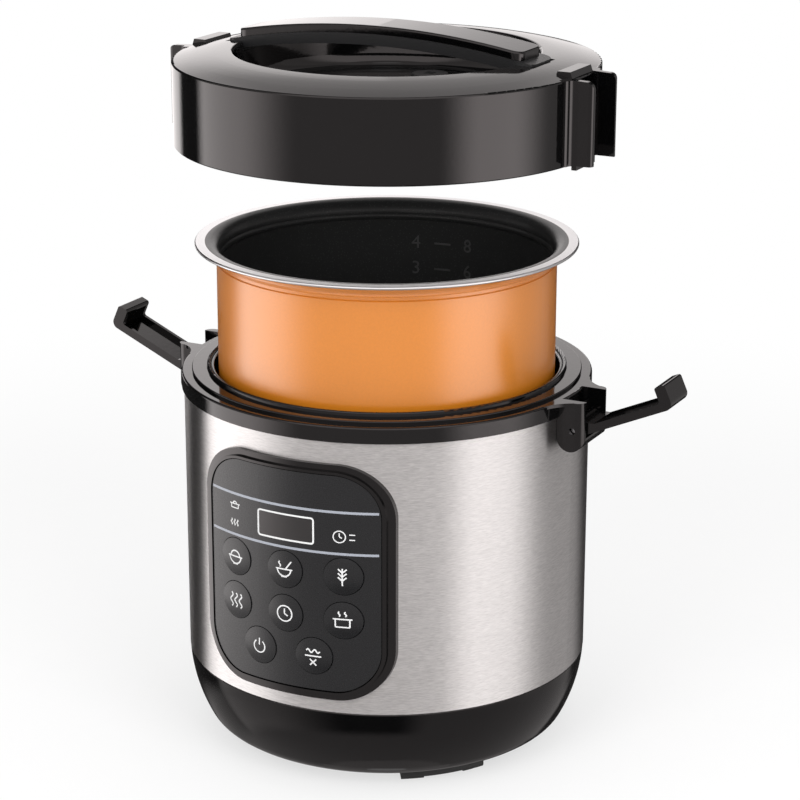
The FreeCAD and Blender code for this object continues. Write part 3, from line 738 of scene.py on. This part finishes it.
def face_out(piece: bpy.types.Object) -> None:
    """Turn every closed shell of a piece right side out.

    Args:
        piece: the mesh object.
    """
    mesh = bmesh.new()
    mesh.from_mesh(piece.data)
    bmesh.ops.recalc_face_normals(mesh, faces=mesh.faces)
    mesh.to_mesh(piece.data)
    mesh.free()


def grid_faces(rows: int, columns: int, wrap_rows: bool = False, wrap_columns: bool = False) -> np.ndarray:
    """Faces of a grid of points numbered row by row.

    Args:
        rows: points along the first parameter.
        columns: points along the second parameter.
        wrap_rows: join the last row to the first.
        wrap_columns: join the last column to the first.

    Returns:
        Four vertex numbers to a face.
    """
    i, j = np.meshgrid(
        np.arange(rows if wrap_rows else rows - 1),
        np.arange(columns if wrap_columns else columns - 1),
        indexing="ij",
    )
    next_i = (i + 1) % rows
    next_j = (j + 1) % columns
    corners = (i * columns + j, i * columns + next_j, next_i * columns + next_j, next_i * columns + j)
    return np.stack(corners, axis=-1).reshape(-1, 4)


@dataclass(frozen=True)
class Stroke:
    """One line of a printed mark, as points in millimetres on a flat sheet."""

    points: np.ndarray
    closed: bool = False


def line(start: Pair, end: Pair, count: int = 12) -> Stroke:
    """A straight stroke, at even steps from start to end."""
    t = np.linspace(0.0, 1.0, count)[:, None]
    return Stroke(np.asarray(start) * (1 - t) + np.asarray(end) * t)


def arc(middle: Pair, radius: float, start: float, end: float, count: int = 40) -> Stroke:
    """Part of a circle: middle + radius (cos a, sin a), with a in degrees from start to end.

    Args:
        middle: the circle's centre.
        radius: its radius.
        start: first angle.
        end: last angle; a whole turn makes a closed stroke.
        count: points along it.

    Returns:
        The stroke.
    """
    closed = abs(end - start) >= 360.0
    a = np.radians(np.linspace(start, end, count, endpoint=not closed))
    return Stroke(np.asarray(middle) + radius * np.stack((np.cos(a), np.sin(a)), axis=-1), closed)


def ripple(
    start: Pair, length: float, swing: float, upright: bool = True, waves: float = 1.5, count: int = 36
) -> Stroke:
    """A wavy stroke: a sine of the given swing along a straight run.

    Args:
        start: where it begins.
        length: how long the run is.
        swing: how far it strays.
        upright: run upwards, not to the right.
        waves: whole waves along it.
        count: points along it.

    Returns:
        The stroke.
    """
    t = np.linspace(0.0, 1.0, count)
    along, across = t * length, swing * np.sin(2 * math.pi * waves * t)
    run = (across, along) if upright else (along, across)
    return Stroke(np.asarray(start) + np.stack(run, axis=-1))


def vessel(half: float, top: float, bottom: float) -> list[Stroke]:
    """A pot's open outline: down its left side, along its bottom, up its right side."""
    corners = ((-half, top), (-half, bottom), (half, bottom), (half, top))
    return [line(start, end) for start, end in zip(corners, corners[1:])]


def frame_line(half: Pair, corner: float, bend_points: int = 7, run_points: int = 6) -> Stroke:
    """Rounded rectangle round the sheet's middle: four quarter circles joined by straight runs.

    Every step from one bend point to the next is divided evenly, so that it can follow a curved surface.

    Args:
        half: half its width and half its height.
        corner: its corners' radius.
        bend_points: points on a quarter circle.
        run_points: points on a step, with both its ends.

    Returns:
        The stroke.
    """
    quarters = np.arange(4)[:, None] * math.pi / 2
    a = quarters + np.linspace(0.0, math.pi / 2, bend_points)
    signs = np.array(((1, 1), (-1, 1), (-1, -1), (1, -1)))[:, None, :]
    bends = corner * np.stack((np.cos(a), np.sin(a)), axis=-1) + signs * (np.asarray(half) - corner)
    bends = bends.reshape(-1, 1, 2)
    t = np.linspace(0.0, 1.0, run_points)[:-1, None]
    runs = bends * (1 - t) + np.roll(bends, -1, axis=0) * t
    return Stroke(runs.reshape(-1, 2), True)


class Sign(Enum):
    """The plain pictograms on the buttons and beside the display."""

    BOWL = "bowl"
    BOWL_AND_SPOON = "bowl_and_spoon"
    GRAIN = "grain"
    STEAM = "steam"
    CLOCK = "clock"
    SLOW_POT = "slow_pot"
    POWER = "power"
    WARM_OR_STOP = "warm_or_stop"
    SMALL_POT = "small_pot"
    SMALL_HEAT = "small_heat"
    SMALL_CLOCK = "small_clock"

    def strokes(self) -> list[Stroke]:
        """Draw the sign.

        Returns:
            Its strokes, round its own middle, in millimetres.
        """
        bowl = [arc((0, 0.3), 3.4, 180, 360), line((-4.2, 0.3), (4.2, 0.3)), line((-1.4, -3.3), (1.4, -3.3))]
        leaves = [line((0, h), (side * 1.9, h + 1.7), 6) for h in (-1.8, 0.1, 2.0) for side in (-1, 1)]
        made = {
            Sign.BOWL: bowl + [arc((0, 0.3), 2.7, 0, 180)],
            Sign.BOWL_AND_SPOON: [
                *bowl, line((0.9, 0.6), (3.6, 4.2)), ripple((-2.2, 1.2), 2.6, 0.45, waves=1.0),
            ],
            Sign.GRAIN: [line((0, -4.2), (0, 4.0)), *leaves],
            Sign.STEAM: [ripple((u, -3.4), 6.8, 0.75) for u in (-2.7, 0.0, 2.7)],
            Sign.CLOCK: [arc((0, 0), 3.7, 0, 360), line((0, 0), (0, 2.4)), line((0, 0), (1.7, -0.9))],
            Sign.SLOW_POT: [
                *vessel(3.2, 0.9, -2.9), line((-4.3, 0.9), (4.3, 0.9)),
                *(ripple((u, 2.2), 2.2, 0.4, waves=1.0) for u in (-1.5, 1.3)),
            ],
            Sign.POWER: [arc((0, -0.3), 3.0, 125, 415), line((0, 0.4), (0, 3.6))],
            Sign.WARM_OR_STOP: [
                ripple((-3.2, 2.6), 6.4, 0.75, upright=False, waves=2.0), line((-3.9, 0.2), (3.9, 0.2)),
                line((-1.5, -1.3), (1.5, -4.3)), line((-1.5, -4.3), (1.5, -1.3)),
            ],
            Sign.SMALL_POT: [
                *vessel(2.1, 0.5, -1.4), line((-3.0, 0.5), (3.0, 0.5)), arc((0, 0.5), 1.1, 0, 180, 16),
            ],
            Sign.SMALL_HEAT: [ripple((u, -1.5), 3.0, 0.4) for u in (-1.8, 0.0, 1.8)],
            Sign.SMALL_CLOCK: [
                arc((-1.6, 0), 2.7, 0, 360), line((-1.6, 0), (-1.6, 1.7)), line((-1.6, 0), (-0.4, -0.6)),
                line((2.7, 1.2), (5.2, 1.2)), line((2.7, -1.2), (5.2, -1.2)),
            ],
        }
        return made[self]


def ribbon(
    stroke: Stroke, surface: Surface, width: float, proud: float, sunk: float
) -> tuple[np.ndarray, np.ndarray]:
    """A flat band along a stroke, laid on a surface.

    Each point's sideways step is square to the stroke's direction there. The four corners of the band's
    section are left low, left high, right high and right low.

    Args:
        stroke: the line that the band follows.
        surface: turns sheet places and a height into points in space.
        width: the band's width in millimetres.
        proud: how far it stands out of the surface, in millimetres.
        sunk: how far it reaches into the surface, in millimetres.

    Returns:
        Vertices and faces.
    """
    path = stroke.points
    ahead = np.roll(path, -1, axis=0)
    behind = np.roll(path, 1, axis=0)
    if not stroke.closed:
        ahead[-1] = path[-1]
        behind[0] = path[0]
    way = ahead - behind
    way = way / np.linalg.norm(way, axis=1, keepdims=True)
    aside = np.stack((-way[:, 1], way[:, 0]), axis=-1) * width / 2
    left, right = path + aside, path - aside
    section = ((left, -sunk), (left, proud), (right, proud), (right, -sunk))
    points = np.stack([surface(side[:, 0], side[:, 1], height) for side, height in section], axis=1)
    faces = grid_faces(len(path), 4, wrap_rows=stroke.closed, wrap_columns=True)
    if not stroke.closed:
        last = (len(path) - 1) * 4
        faces = np.concatenate((faces, [[1, 2, 3, 0], [last + 3, last + 2, last + 1, last]]))
    return points.reshape(-1, 3), faces


def printed(
    name: str, strokes: Sequence[Stroke], surface: Surface, width: float, proud: float = 0.05, sunk: float = 0.12
) -> bpy.types.Object:
    """All of a mark's strokes as one piece.

    Args:
        name: the piece's name.
        strokes: its strokes.
        surface: the surface that they lie on.
        width: the strokes' width in millimetres.
        proud: how far they stand out, in millimetres.
        sunk: how far they reach in, in millimetres.

    Returns:
        The new object, with its faces turned outwards.
    """
    points: list[np.ndarray] = []
    faces: list[np.ndarray] = []
    start = 0
    for stroke in strokes:
        p, f = ribbon(stroke, surface, width, proud, sunk)
        points.append(p)
        faces.append(f + start)
        start += len(p)
    piece = piece_from(name, np.concatenate(points), np.concatenate(faces), smooth=False)
    face_out(piece)
    return piece


@dataclass
class ControlPanel:
    """The wrapped panel's printed lines, display outline and pictograms, in millimetres."""

    wardrobe: Wardrobe
    stripe_heights: Pair = (139.0, 119.5)
    stripe_half_width: float = 42.4
    stripe_width: float = 1.15
    stripe_points: int = 64
    display_middle: float = 129.0
    display_half: Pair = (14.0, 6.0)
    display_corner: float = 1.2
    display_line: float = 0.8
    indicator_line: float = 0.5
    indicators: tuple[tuple[Sign, float, float], ...] = (
        (Sign.SMALL_POT, -27.8, 133.6), (Sign.SMALL_HEAT, -28.2, 125.2), (Sign.SMALL_CLOCK, 27.4, 127.6),
    )
    dome_radius: float = 45.0
    crown_radius: float = 99.4
    button_line: float = 0.62
    button_signs: tuple[Sign, ...] = (
        Sign.BOWL, Sign.BOWL_AND_SPOON, Sign.GRAIN, Sign.STEAM, Sign.CLOCK, Sign.SLOW_POT, Sign.POWER,
        Sign.WARM_OR_STOP,
    )

    def __post_init__(self) -> None:
        """Read the face's radius from the frame."""
        low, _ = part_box("panel_face")
        self.face_radius = -low.y / MM

    def on_face(self, x: float, z: float) -> Surface:
        """The face's cylinder about Z.

        A sheet place (u, v) goes to the angle whose sine is (x + u) / R and the height z + v, at the
        radius R + h.

        Args:
            x: the sheet's middle across the panel, in millimetres.
            z: the sheet's middle above the floor, in millimetres.

        Returns:
            The surface.
        """
        def surface(u: np.ndarray, v: np.ndarray, h: float) -> np.ndarray:
            """Points on the face, in metres."""
            sine, out = (x + u) / self.face_radius, self.face_radius + h
            return MM * np.stack((out * sine, -out * np.sqrt(1 - sine * sine), z + v), axis=-1)

        return surface

    def on_dome(self, name: str) -> Surface:
        """A button's domed front.

        The dome is a sphere whose crown is on the panel's radius through the button's middle. A sheet
        place (u, v) goes straight back along +Y from the button's middle to the sphere of radius D + h.

        Args:
            name: the button's node.

        Returns:
            The surface.
        """
        low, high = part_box(name)
        x = (low.x + high.x) / 2 / MM
        z = (low.z + high.z) / 2 / MM
        sine = x / self.face_radius
        deep = self.crown_radius - self.dome_radius
        centre_x, centre_y = deep * sine, -deep * math.sqrt(1 - sine * sine)

        def surface(u: np.ndarray, v: np.ndarray, h: float) -> np.ndarray:
            """Points on the dome, in metres."""
            back = np.sqrt((self.dome_radius + h) ** 2 - (x + u - centre_x) ** 2 - v ** 2)
            return MM * np.stack((x + u, centre_y - back, z + v), axis=-1)

        return surface

    def build(self) -> None:
        """Make and dress every printed mark."""
        half = self.stripe_half_width
        for place, z in zip(("upper", "lower"), self.stripe_heights):
            stripe = line((-half, 0.0), (half, 0.0), self.stripe_points)
            self.add(f"panel_stripe_{place}", [stripe], self.on_face(0.0, z), self.stripe_width, STRIPE_INK)
        outline = frame_line(self.display_half, self.display_corner)
        middle = self.on_face(0.0, self.display_middle)
        self.add("display_outline", [outline], middle, self.display_line, WHITE_INK)
        for sign, x, z in self.indicators:
            name = f"indicator_{sign.value}"
            self.add(name, sign.strokes(), self.on_face(x, z), self.indicator_line, WHITE_INK)
        for number, sign in enumerate(self.button_signs, 1):
            node = f"button_{number}"
            self.add(f"sign_{node}", sign.strokes(), self.on_dome(node), self.button_line, WHITE_INK, node)

    def add(
        self, name: str, strokes: Sequence[Stroke], surface: Surface, width: float, ink: Finish, body: str = "body"
    ) -> None:
        """Make one mark, dress it and let it ride on its body.

        Args:
            name: the piece's name.
            strokes: its strokes.
            surface: the surface that it lies on.
            width: the strokes' width in millimetres.
            ink: its finish.
            body: the body that it moves with.
        """
        piece = printed(name, strokes, surface, width)
        self.wardrobe.dress(piece, ink)
        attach(piece, body)
        LOG.info("%s: %d faces on %s", name, len(piece.data.polygons), body)


@dataclass
class CookingPot:
    """The raised scale on the pot's inner wall, in millimetres."""

    wardrobe: Wardrobe
    wall_radius: float = 77.3
    middle_deg: float = -6.7
    below_rim: tuple[float, ...] = (21.0, 34.0, 47.0, 60.0)
    digits: tuple[int, ...] = (4, 3, 2, 1)
    digit_height: float = 6.5
    digit_share: float = 0.7
    digit_steps: int = 3
    column: float = 13.5
    dash_half: float = 4.2
    dash_width: float = 0.9
    dash_sunk: float = 0.2
    proud: float = 0.22

    def __post_init__(self) -> None:
        """Read the rim's height from the frame."""
        _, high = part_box("inner_pot")
        self.rim = high.z / MM

    def on_wall(self, z: float) -> Surface:
        """The inner wall's cylinder about Z, seen from inside.

        A sheet place (u, v) goes to the angle middle + u / R from +Y towards +X and the height z + v, at
        the radius R - h.

        Args:
            z: the sheet's middle above the floor, in millimetres.

        Returns:
            The surface.
        """
        def surface(u: np.ndarray, v: np.ndarray, h: float) -> np.ndarray:
            """Points on the wall, in metres."""
            a, inside = math.radians(self.middle_deg) + u / self.wall_radius, self.wall_radius - h
            return MM * np.stack((inside * np.sin(a), inside * np.cos(a), z + v), axis=-1)

        return surface

    def numeral(self, name: str, text: str, x: float, z: float) -> bpy.types.Object:
        """A raised numeral: flat digit shapes with a little depth, wrapped on the wall.

        Args:
            name: the piece's name.
            text: what it says.
            x: its middle across the scale, in millimetres.
            z: its middle above the floor, in millimetres.

        Returns:
            The new object.
        """
        curve = bpy.data.curves.new(name, "FONT")
        curve.body = text
        curve.size = self.digit_height / self.digit_share
        curve.align_x = "CENTER"
        curve.align_y = "CENTER"
        curve.extrude = self.proud
        curve.resolution_u = self.digit_steps
        source = linked(name + "_source", curve)
        bpy.context.view_layer.update()
        mesh = bpy.data.meshes.new_from_object(source)
        bpy.data.objects.remove(source)
        flat = np.empty(len(mesh.vertices) * 3)
        mesh.vertices.foreach_get("co", flat)
        u, v, depth = flat.reshape(-1, 3).T
        wall = self.on_wall(z)
        front = wall(u + x, v, self.proud)
        back = wall(u + x, v, -self.proud)
        placed = np.where(depth[:, None] > 0, front, back)
        mesh.vertices.foreach_set("co", placed.ravel())
        mesh.update()
        return linked(name, mesh)

    def build(self) -> None:
        """Make and dress the scale: a numeral, a dash and twice the numeral in each row."""
        dash = [line((-self.dash_half, 0.0), (self.dash_half, 0.0))]
        for row, (depth, digit) in enumerate(zip(self.below_rim, self.digits), 1):
            z = self.rim - depth
            pieces = [
                printed(f"pot_dash_{row}", dash, self.on_wall(z), self.dash_width, self.proud, self.dash_sunk),
                self.numeral(f"pot_number_left_{row}", str(digit), -self.column, z),
                self.numeral(f"pot_number_right_{row}", str(2 * digit), self.column, z),
            ]
            for piece in pieces:
                self.wardrobe.dress(piece, POT_MARK_INK)
                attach(piece, "pot")
                LOG.info("%s: %d faces on pot", piece.name, len(piece.data.polygons))


@dataclass
class ThermostatSpring:
    """The coil under the thermostat cap."""

    wardrobe: Wardrobe
    node: str = "sensor_spring"
    joint: str = "sensor_press"
    travel: float = 3.0 * MM
    wire: float = 0.6 * MM
    turns: int = 4
    steps: int = 129
    sides: int = 8
    end_faces: tuple[tuple[int, ...], ...] = ((3, 2, 1, 0), (7, 4, 3, 0), (7, 6, 5, 4))

    def build(self) -> None:
        """Make the coil, dress it, let it ride on the body and hide the imported coil.

        The wire's middle is (R cos a, R sin a, z), with a over whole turns and z rising evenly. A point of
        the wire is that middle plus the wire's radius times (cos b outwards, sin b upwards).
        """
        low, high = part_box(self.node)
        radius = (high.x - low.x) / 2 - self.wire
        a = np.linspace(0.0, 2 * math.pi * self.turns, self.steps)[:, None]
        b = np.linspace(0.0, 2 * math.pi, self.sides, endpoint=False)[None, :]
        out = radius + self.wire * np.cos(b)
        middle = np.linspace(low.z + self.wire, high.z - self.wire, self.steps)[:, None]
        x, y, z = np.broadcast_arrays(out * np.cos(a), out * np.sin(a), middle + self.wire * np.sin(b))
        tube = grid_faces(self.steps, self.sides, wrap_columns=True)
        end = np.array(self.end_faces)
        last = (self.steps - 1) * self.sides
        faces = np.concatenate((tube, end, end[:, ::-1] + last))
        coil = piece_from("thermostat_spring", np.stack((x, y, z), axis=-1).reshape(-1, 3), faces)
        face_out(coil)
        self.wardrobe.dress(coil, ZINC_STEEL)
        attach(coil, "body")
        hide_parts(self.node)
        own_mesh(coil)
        LOG.info("%s: %d faces on body", coil.name, len(coil.data.polygons))


def bearing(azimuth: float, elevation: float) -> Vector:
    """Unit vector from the part: azimuth 0 is towards -Y and 90 towards +X, in degrees."""
    a, e = math.radians(azimuth), math.radians(elevation)
    return Vector((math.sin(a) * math.cos(e), -math.cos(a) * math.cos(e), math.sin(e)))


def aim(holder: bpy.types.Object, target: Vector) -> None:
    """Turn a lamp or a camera towards a point, with its top upwards."""
    holder.rotation_euler = (target - holder.location).to_track_quat("-Z", "Y").to_euler()


@dataclass(frozen=True)
class Softbox:
    """A rectangular lamp that looks at the part, a turn in degrees to the right of the camera's side."""

    name: str
    turn: float
    elevation: float
    distance: float
    size: Pair
    power: float

    def build(self, target: Vector, azimuth: float) -> None:
        """Make the lamp.

        Args:
            target: the point that it looks at.
            azimuth: the camera's bearing, in degrees.
        """
        lamp = bpy.data.lights.new(self.name, "AREA")
        lamp.shape = "RECTANGLE"
        lamp.size, lamp.size_y = self.size
        lamp.energy = self.power
        holder = linked(self.name, lamp)
        holder.location = target + self.distance * bearing(azimuth + self.turn, self.elevation)
        aim(holder, target)
        holder.visible_camera = False
        holder.visible_glossy = False
        LOG.info("%s: %.1f W", self.name, self.power)


BEHIND_LEFT = (-190.0, -189.0)
BEHIND_RIGHT = (189.0, 190.0)
FAR_BELOW = (-9.0, -8.0)
FAR_ABOVE = (8.0, 9.0)


@dataclass(frozen=True)
class Card:
    """A rectangle of the surround whose soft edges lie between the two values of each pair.

    Left and right are degrees to the right of the camera's side; bottom and top are metres above the floor.
    """

    name: str
    left: Pair
    right: Pair
    level: float
    bottom: Pair = FAR_BELOW
    top: Pair = FAR_ABOVE

    def mask(self, angle: Value, height: Value) -> Value:
        """1 on the card and 0 off it."""
        across = angle.above(*self.left) * angle.above(self.right[1], self.right[0])
        return across * height.above(*self.bottom) * height.above(self.top[1], self.top[0])


@dataclass
class Studio:
    """Camera, lamps, floor, and the surround that polished surfaces mirror; later cards cover earlier ones."""

    camera_azimuth: float = 27.5
    camera_reach: float = 1.142
    camera_height: float = 0.5213
    look_height: float = 0.1605
    lens: float = 113.98
    sensor: float = 36.0
    shift: float = 0.01645
    ambient: float = 0.55
    lamps: tuple[Softbox, ...] = (
        Softbox("softbox_right", 30.0, 30.0, 1.5, (0.7, 1.0), 8.3),
        Softbox("softbox_left", -32.0, 30.0, 1.5, (0.7, 1.0), 8.3),
        Softbox("softbox_top", 0.0, 84.0, 1.9, (1.5, 1.5), 13.0),
    )
    floor_reach: float = 4.0
    floor_drop: float = 0.3 * MM
    floor_points: int = 9
    floor_roughness: float = 0.9
    floor_specular: float = 0.1
    paper: tuple[Triple, Triple] = ((0.90, 0.90, 0.90), (0.92, 0.92, 0.92))
    fibre_scale: float = 60.0
    fade: Pair = (0.30, 0.75)
    bleach: float = 0.66
    surround_radius: float = 3.0
    surround_height: float = 30.0
    surround_points: tuple[int, int] = (96, 5)
    front_level: float = 0.50
    card_tint: Triple = (1.03, 0.985, 0.975)
    cards: tuple[Card, ...] = (
        Card("front_upper", (-75.0, -50.0), (50.0, 75.0), 1.4, bottom=(0.3, 0.9)),
        Card("right_box", (26.0, 50.0), (67.0, 95.0), 2.85, (-1.25, -0.45), (-0.1, 0.35)),
        Card("left_box", (-140.0, -139.0), (-84.0, -46.0), 2.65, (-1.9, -0.8), (-0.1, 0.35)),
        Card("right_grey", (92.0, 104.0), BEHIND_RIGHT, 0.36),
        Card("left_dark", BEHIND_LEFT, (-120.5, -110.5), 0.03),
        Card("left_strip", BEHIND_LEFT, (-146.0, -137.0), 1.6, (-0.44, -0.38), (-0.16, -0.08)),
        Card("left_low_strip", (-130.5, -122.5), (-112.0, -102.0), 2.45, (-1.35, -1.15), (-0.92, -0.80)),
        Card("right_dark", (133.0, 142.0), BEHIND_RIGHT, 0.03),
        Card("back_right", (160.0, 168.0), BEHIND_RIGHT, 1.32, bottom=(0.1, 0.3)),
        Card("back_left", BEHIND_LEFT, (-168.0, -160.0), 1.55, bottom=(0.1, 0.3)),
        Card("back_right_upper", (160.0, 170.0), BEHIND_RIGHT, 0.76, bottom=(0.6, 1.7)),
        Card("back_left_upper", BEHIND_LEFT, (-170.0, -160.0), 0.76, bottom=(0.8, 1.8)),
        # The ground cards stand in for the floor below the horizon, which mirrors don't see: they are painted dim,
        # as painted shade of the floor that lies in the part's shadow.
        Card("ground_back_left", BEHIND_LEFT, (-123.0, -113.0), 0.25, top=(-1.9, -1.5)),
        Card("ground_round", (-123.0, -113.0), (142.0, 150.0), 0.36, top=(-1.9, -1.35)),
        Card("ground_left", (-120.0, -110.0), (-80.0, -50.0), 0.55, top=(-1.9, -1.35)),
        Card("ground_front", (-62.0, -24.0), (5.0, 28.0), 0.03, top=(-1.9, -1.35)),
        Card("ground_below", BEHIND_LEFT, BEHIND_RIGHT, 0.35, top=(-3.4, -2.6)),
    )

    def build(self) -> None:
        """Make the whole studio."""
        scene = bpy.context.scene
        scene.view_settings.view_transform = "Standard"
        target = Vector((0.0, 0.0, self.look_height))
        self.add_camera(scene, target)
        self.add_world(scene)
        self.add_floor()
        self.add_surround()
        for lamp in self.lamps:
            lamp.build(target, self.camera_azimuth)

    def add_camera(self, scene: bpy.types.Scene, target: Vector) -> None:
        """Set the photograph's view: level horizon, long lens, the part a little left of the middle.

        Args:
            scene: the scene that it serves.
            target: the point that it looks at.
        """
        data = bpy.data.cameras.new("camera")
        data.lens = self.lens
        data.sensor_width = self.sensor
        data.shift_x = self.shift
        camera = linked("camera", data)
        ground = bearing(self.camera_azimuth, 0.0) * self.camera_reach
        camera.location = ground + Vector((0.0, 0.0, self.camera_height))
        aim(camera, target)
        scene.camera = camera

    def add_world(self, scene: bpy.types.Scene) -> None:
        """White to the eye, and a lower even light on the part.

        Args:
            scene: the scene that it surrounds.
        """
        world = bpy.data.worlds.new("studio")
        scene.world = world
        world.use_nodes = True
        nodes = Nodes(world.node_tree)
        background = world.node_tree.nodes["Background"]
        nodes.feed(background.inputs["Color"], (1.0, 1.0, 1.0))
        nodes.feed(background.inputs["Strength"], self.ambient + (1.0 - self.ambient) * nodes.seen())

    def add_floor(self) -> None:
        """A wide flat sheet: pale near the part, where the shadow lies, and white further off."""
        side = np.linspace(-self.floor_reach, self.floor_reach, self.floor_points)
        x, y = np.meshgrid(side, side, indexing="ij")
        points = np.stack((x, y, np.full_like(x, -self.floor_drop)), axis=-1).reshape(-1, 3)
        floor = piece_from("floor", points, grid_faces(self.floor_points, self.floor_points)[:, ::-1])
        s = Shader("floor_paper")
        point, px, py, _ = s.place()
        far = px.hypotenuse(py).above(*self.fade)
        fibre = s.noise(point, self.fibre_scale)
        s.dress(
            Base_Color=s.mixed(fibre, *self.paper),
            Roughness=self.floor_roughness,
            Specular_IOR_Level=self.floor_specular,
        )
        whitened = s.seen() * (self.bleach + (1.0 - self.bleach) * far)
        layers = {0: whitened, 1: Value(s, s.surface.outputs["BSDF"]), 2: s.node("ShaderNodeEmission")}
        s.feed(s.output.inputs["Surface"], s.node("ShaderNodeMixShader", None, layers))
        floor.data.materials.append(s.material)
        floor.visible_glossy = False

    def add_surround(self) -> None:
        """An upright drum that only mirrors see, lit by its cards, which later ones lie over.

        A point of the drum is (R sin a, -R cos a, z), with a from 0 to a whole turn.
        """
        around, upwards = self.surround_points
        a = np.linspace(0.0, 2 * math.pi, around, endpoint=False)
        z = np.linspace(-self.surround_height, self.surround_height, upwards)
        turn, height = np.meshgrid(a, z, indexing="ij")
        r = self.surround_radius
        points = np.stack((r * np.sin(turn), -r * np.cos(turn), height), axis=-1).reshape(-1, 3)
        drum = piece_from("surround", points, grid_faces(around, upwards, wrap_rows=True))
        s = Shader("surround_light")
        _, x, y, up = s.place()
        facing = bearing(self.camera_azimuth, 0.0)
        aside = bearing(self.camera_azimuth + 90.0, 0.0)
        ahead = x * facing.x + y * facing.y
        right = x * aside.x + y * aside.y
        angle = right.math("ARCTAN2", right, ahead) * math.degrees(1.0)
        level: Number = self.front_level
        for card in self.cards:
            level = card.mask(angle, up) * (card.level - level) + level
            LOG.info("%s: level %.2f", card.name, card.level)
        tinted = s.node("ShaderNodeVectorMath", {"operation": "SCALE"}, {0: self.card_tint, "Scale": level})
        s.feed(s.output.inputs["Surface"], s.node("ShaderNodeEmission", None, {"Color": tinted}))
        s.tree.nodes.remove(s.surface)
        s.material.cycles.emission_sampling = "NONE"
        drum.data.materials.append(s.material)
        for kind in ("camera", "diffuse", "transmission", "volume_scatter", "shadow"):
            setattr(drum, f"visible_{kind}", False)


def main() -> None:
    """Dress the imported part, add its printed marks and its coil, and build the studio."""
    logging.basicConfig(level=logging.INFO, format="%(name)s %(message)s")
    wardrobe = Wardrobe()
    wardrobe.dress_nodes()
    ControlPanel(wardrobe).build()
    CookingPot(wardrobe).build()
    ThermostatSpring(wardrobe).build()
    Studio().build()


if __name__ == "__main__":
    main()
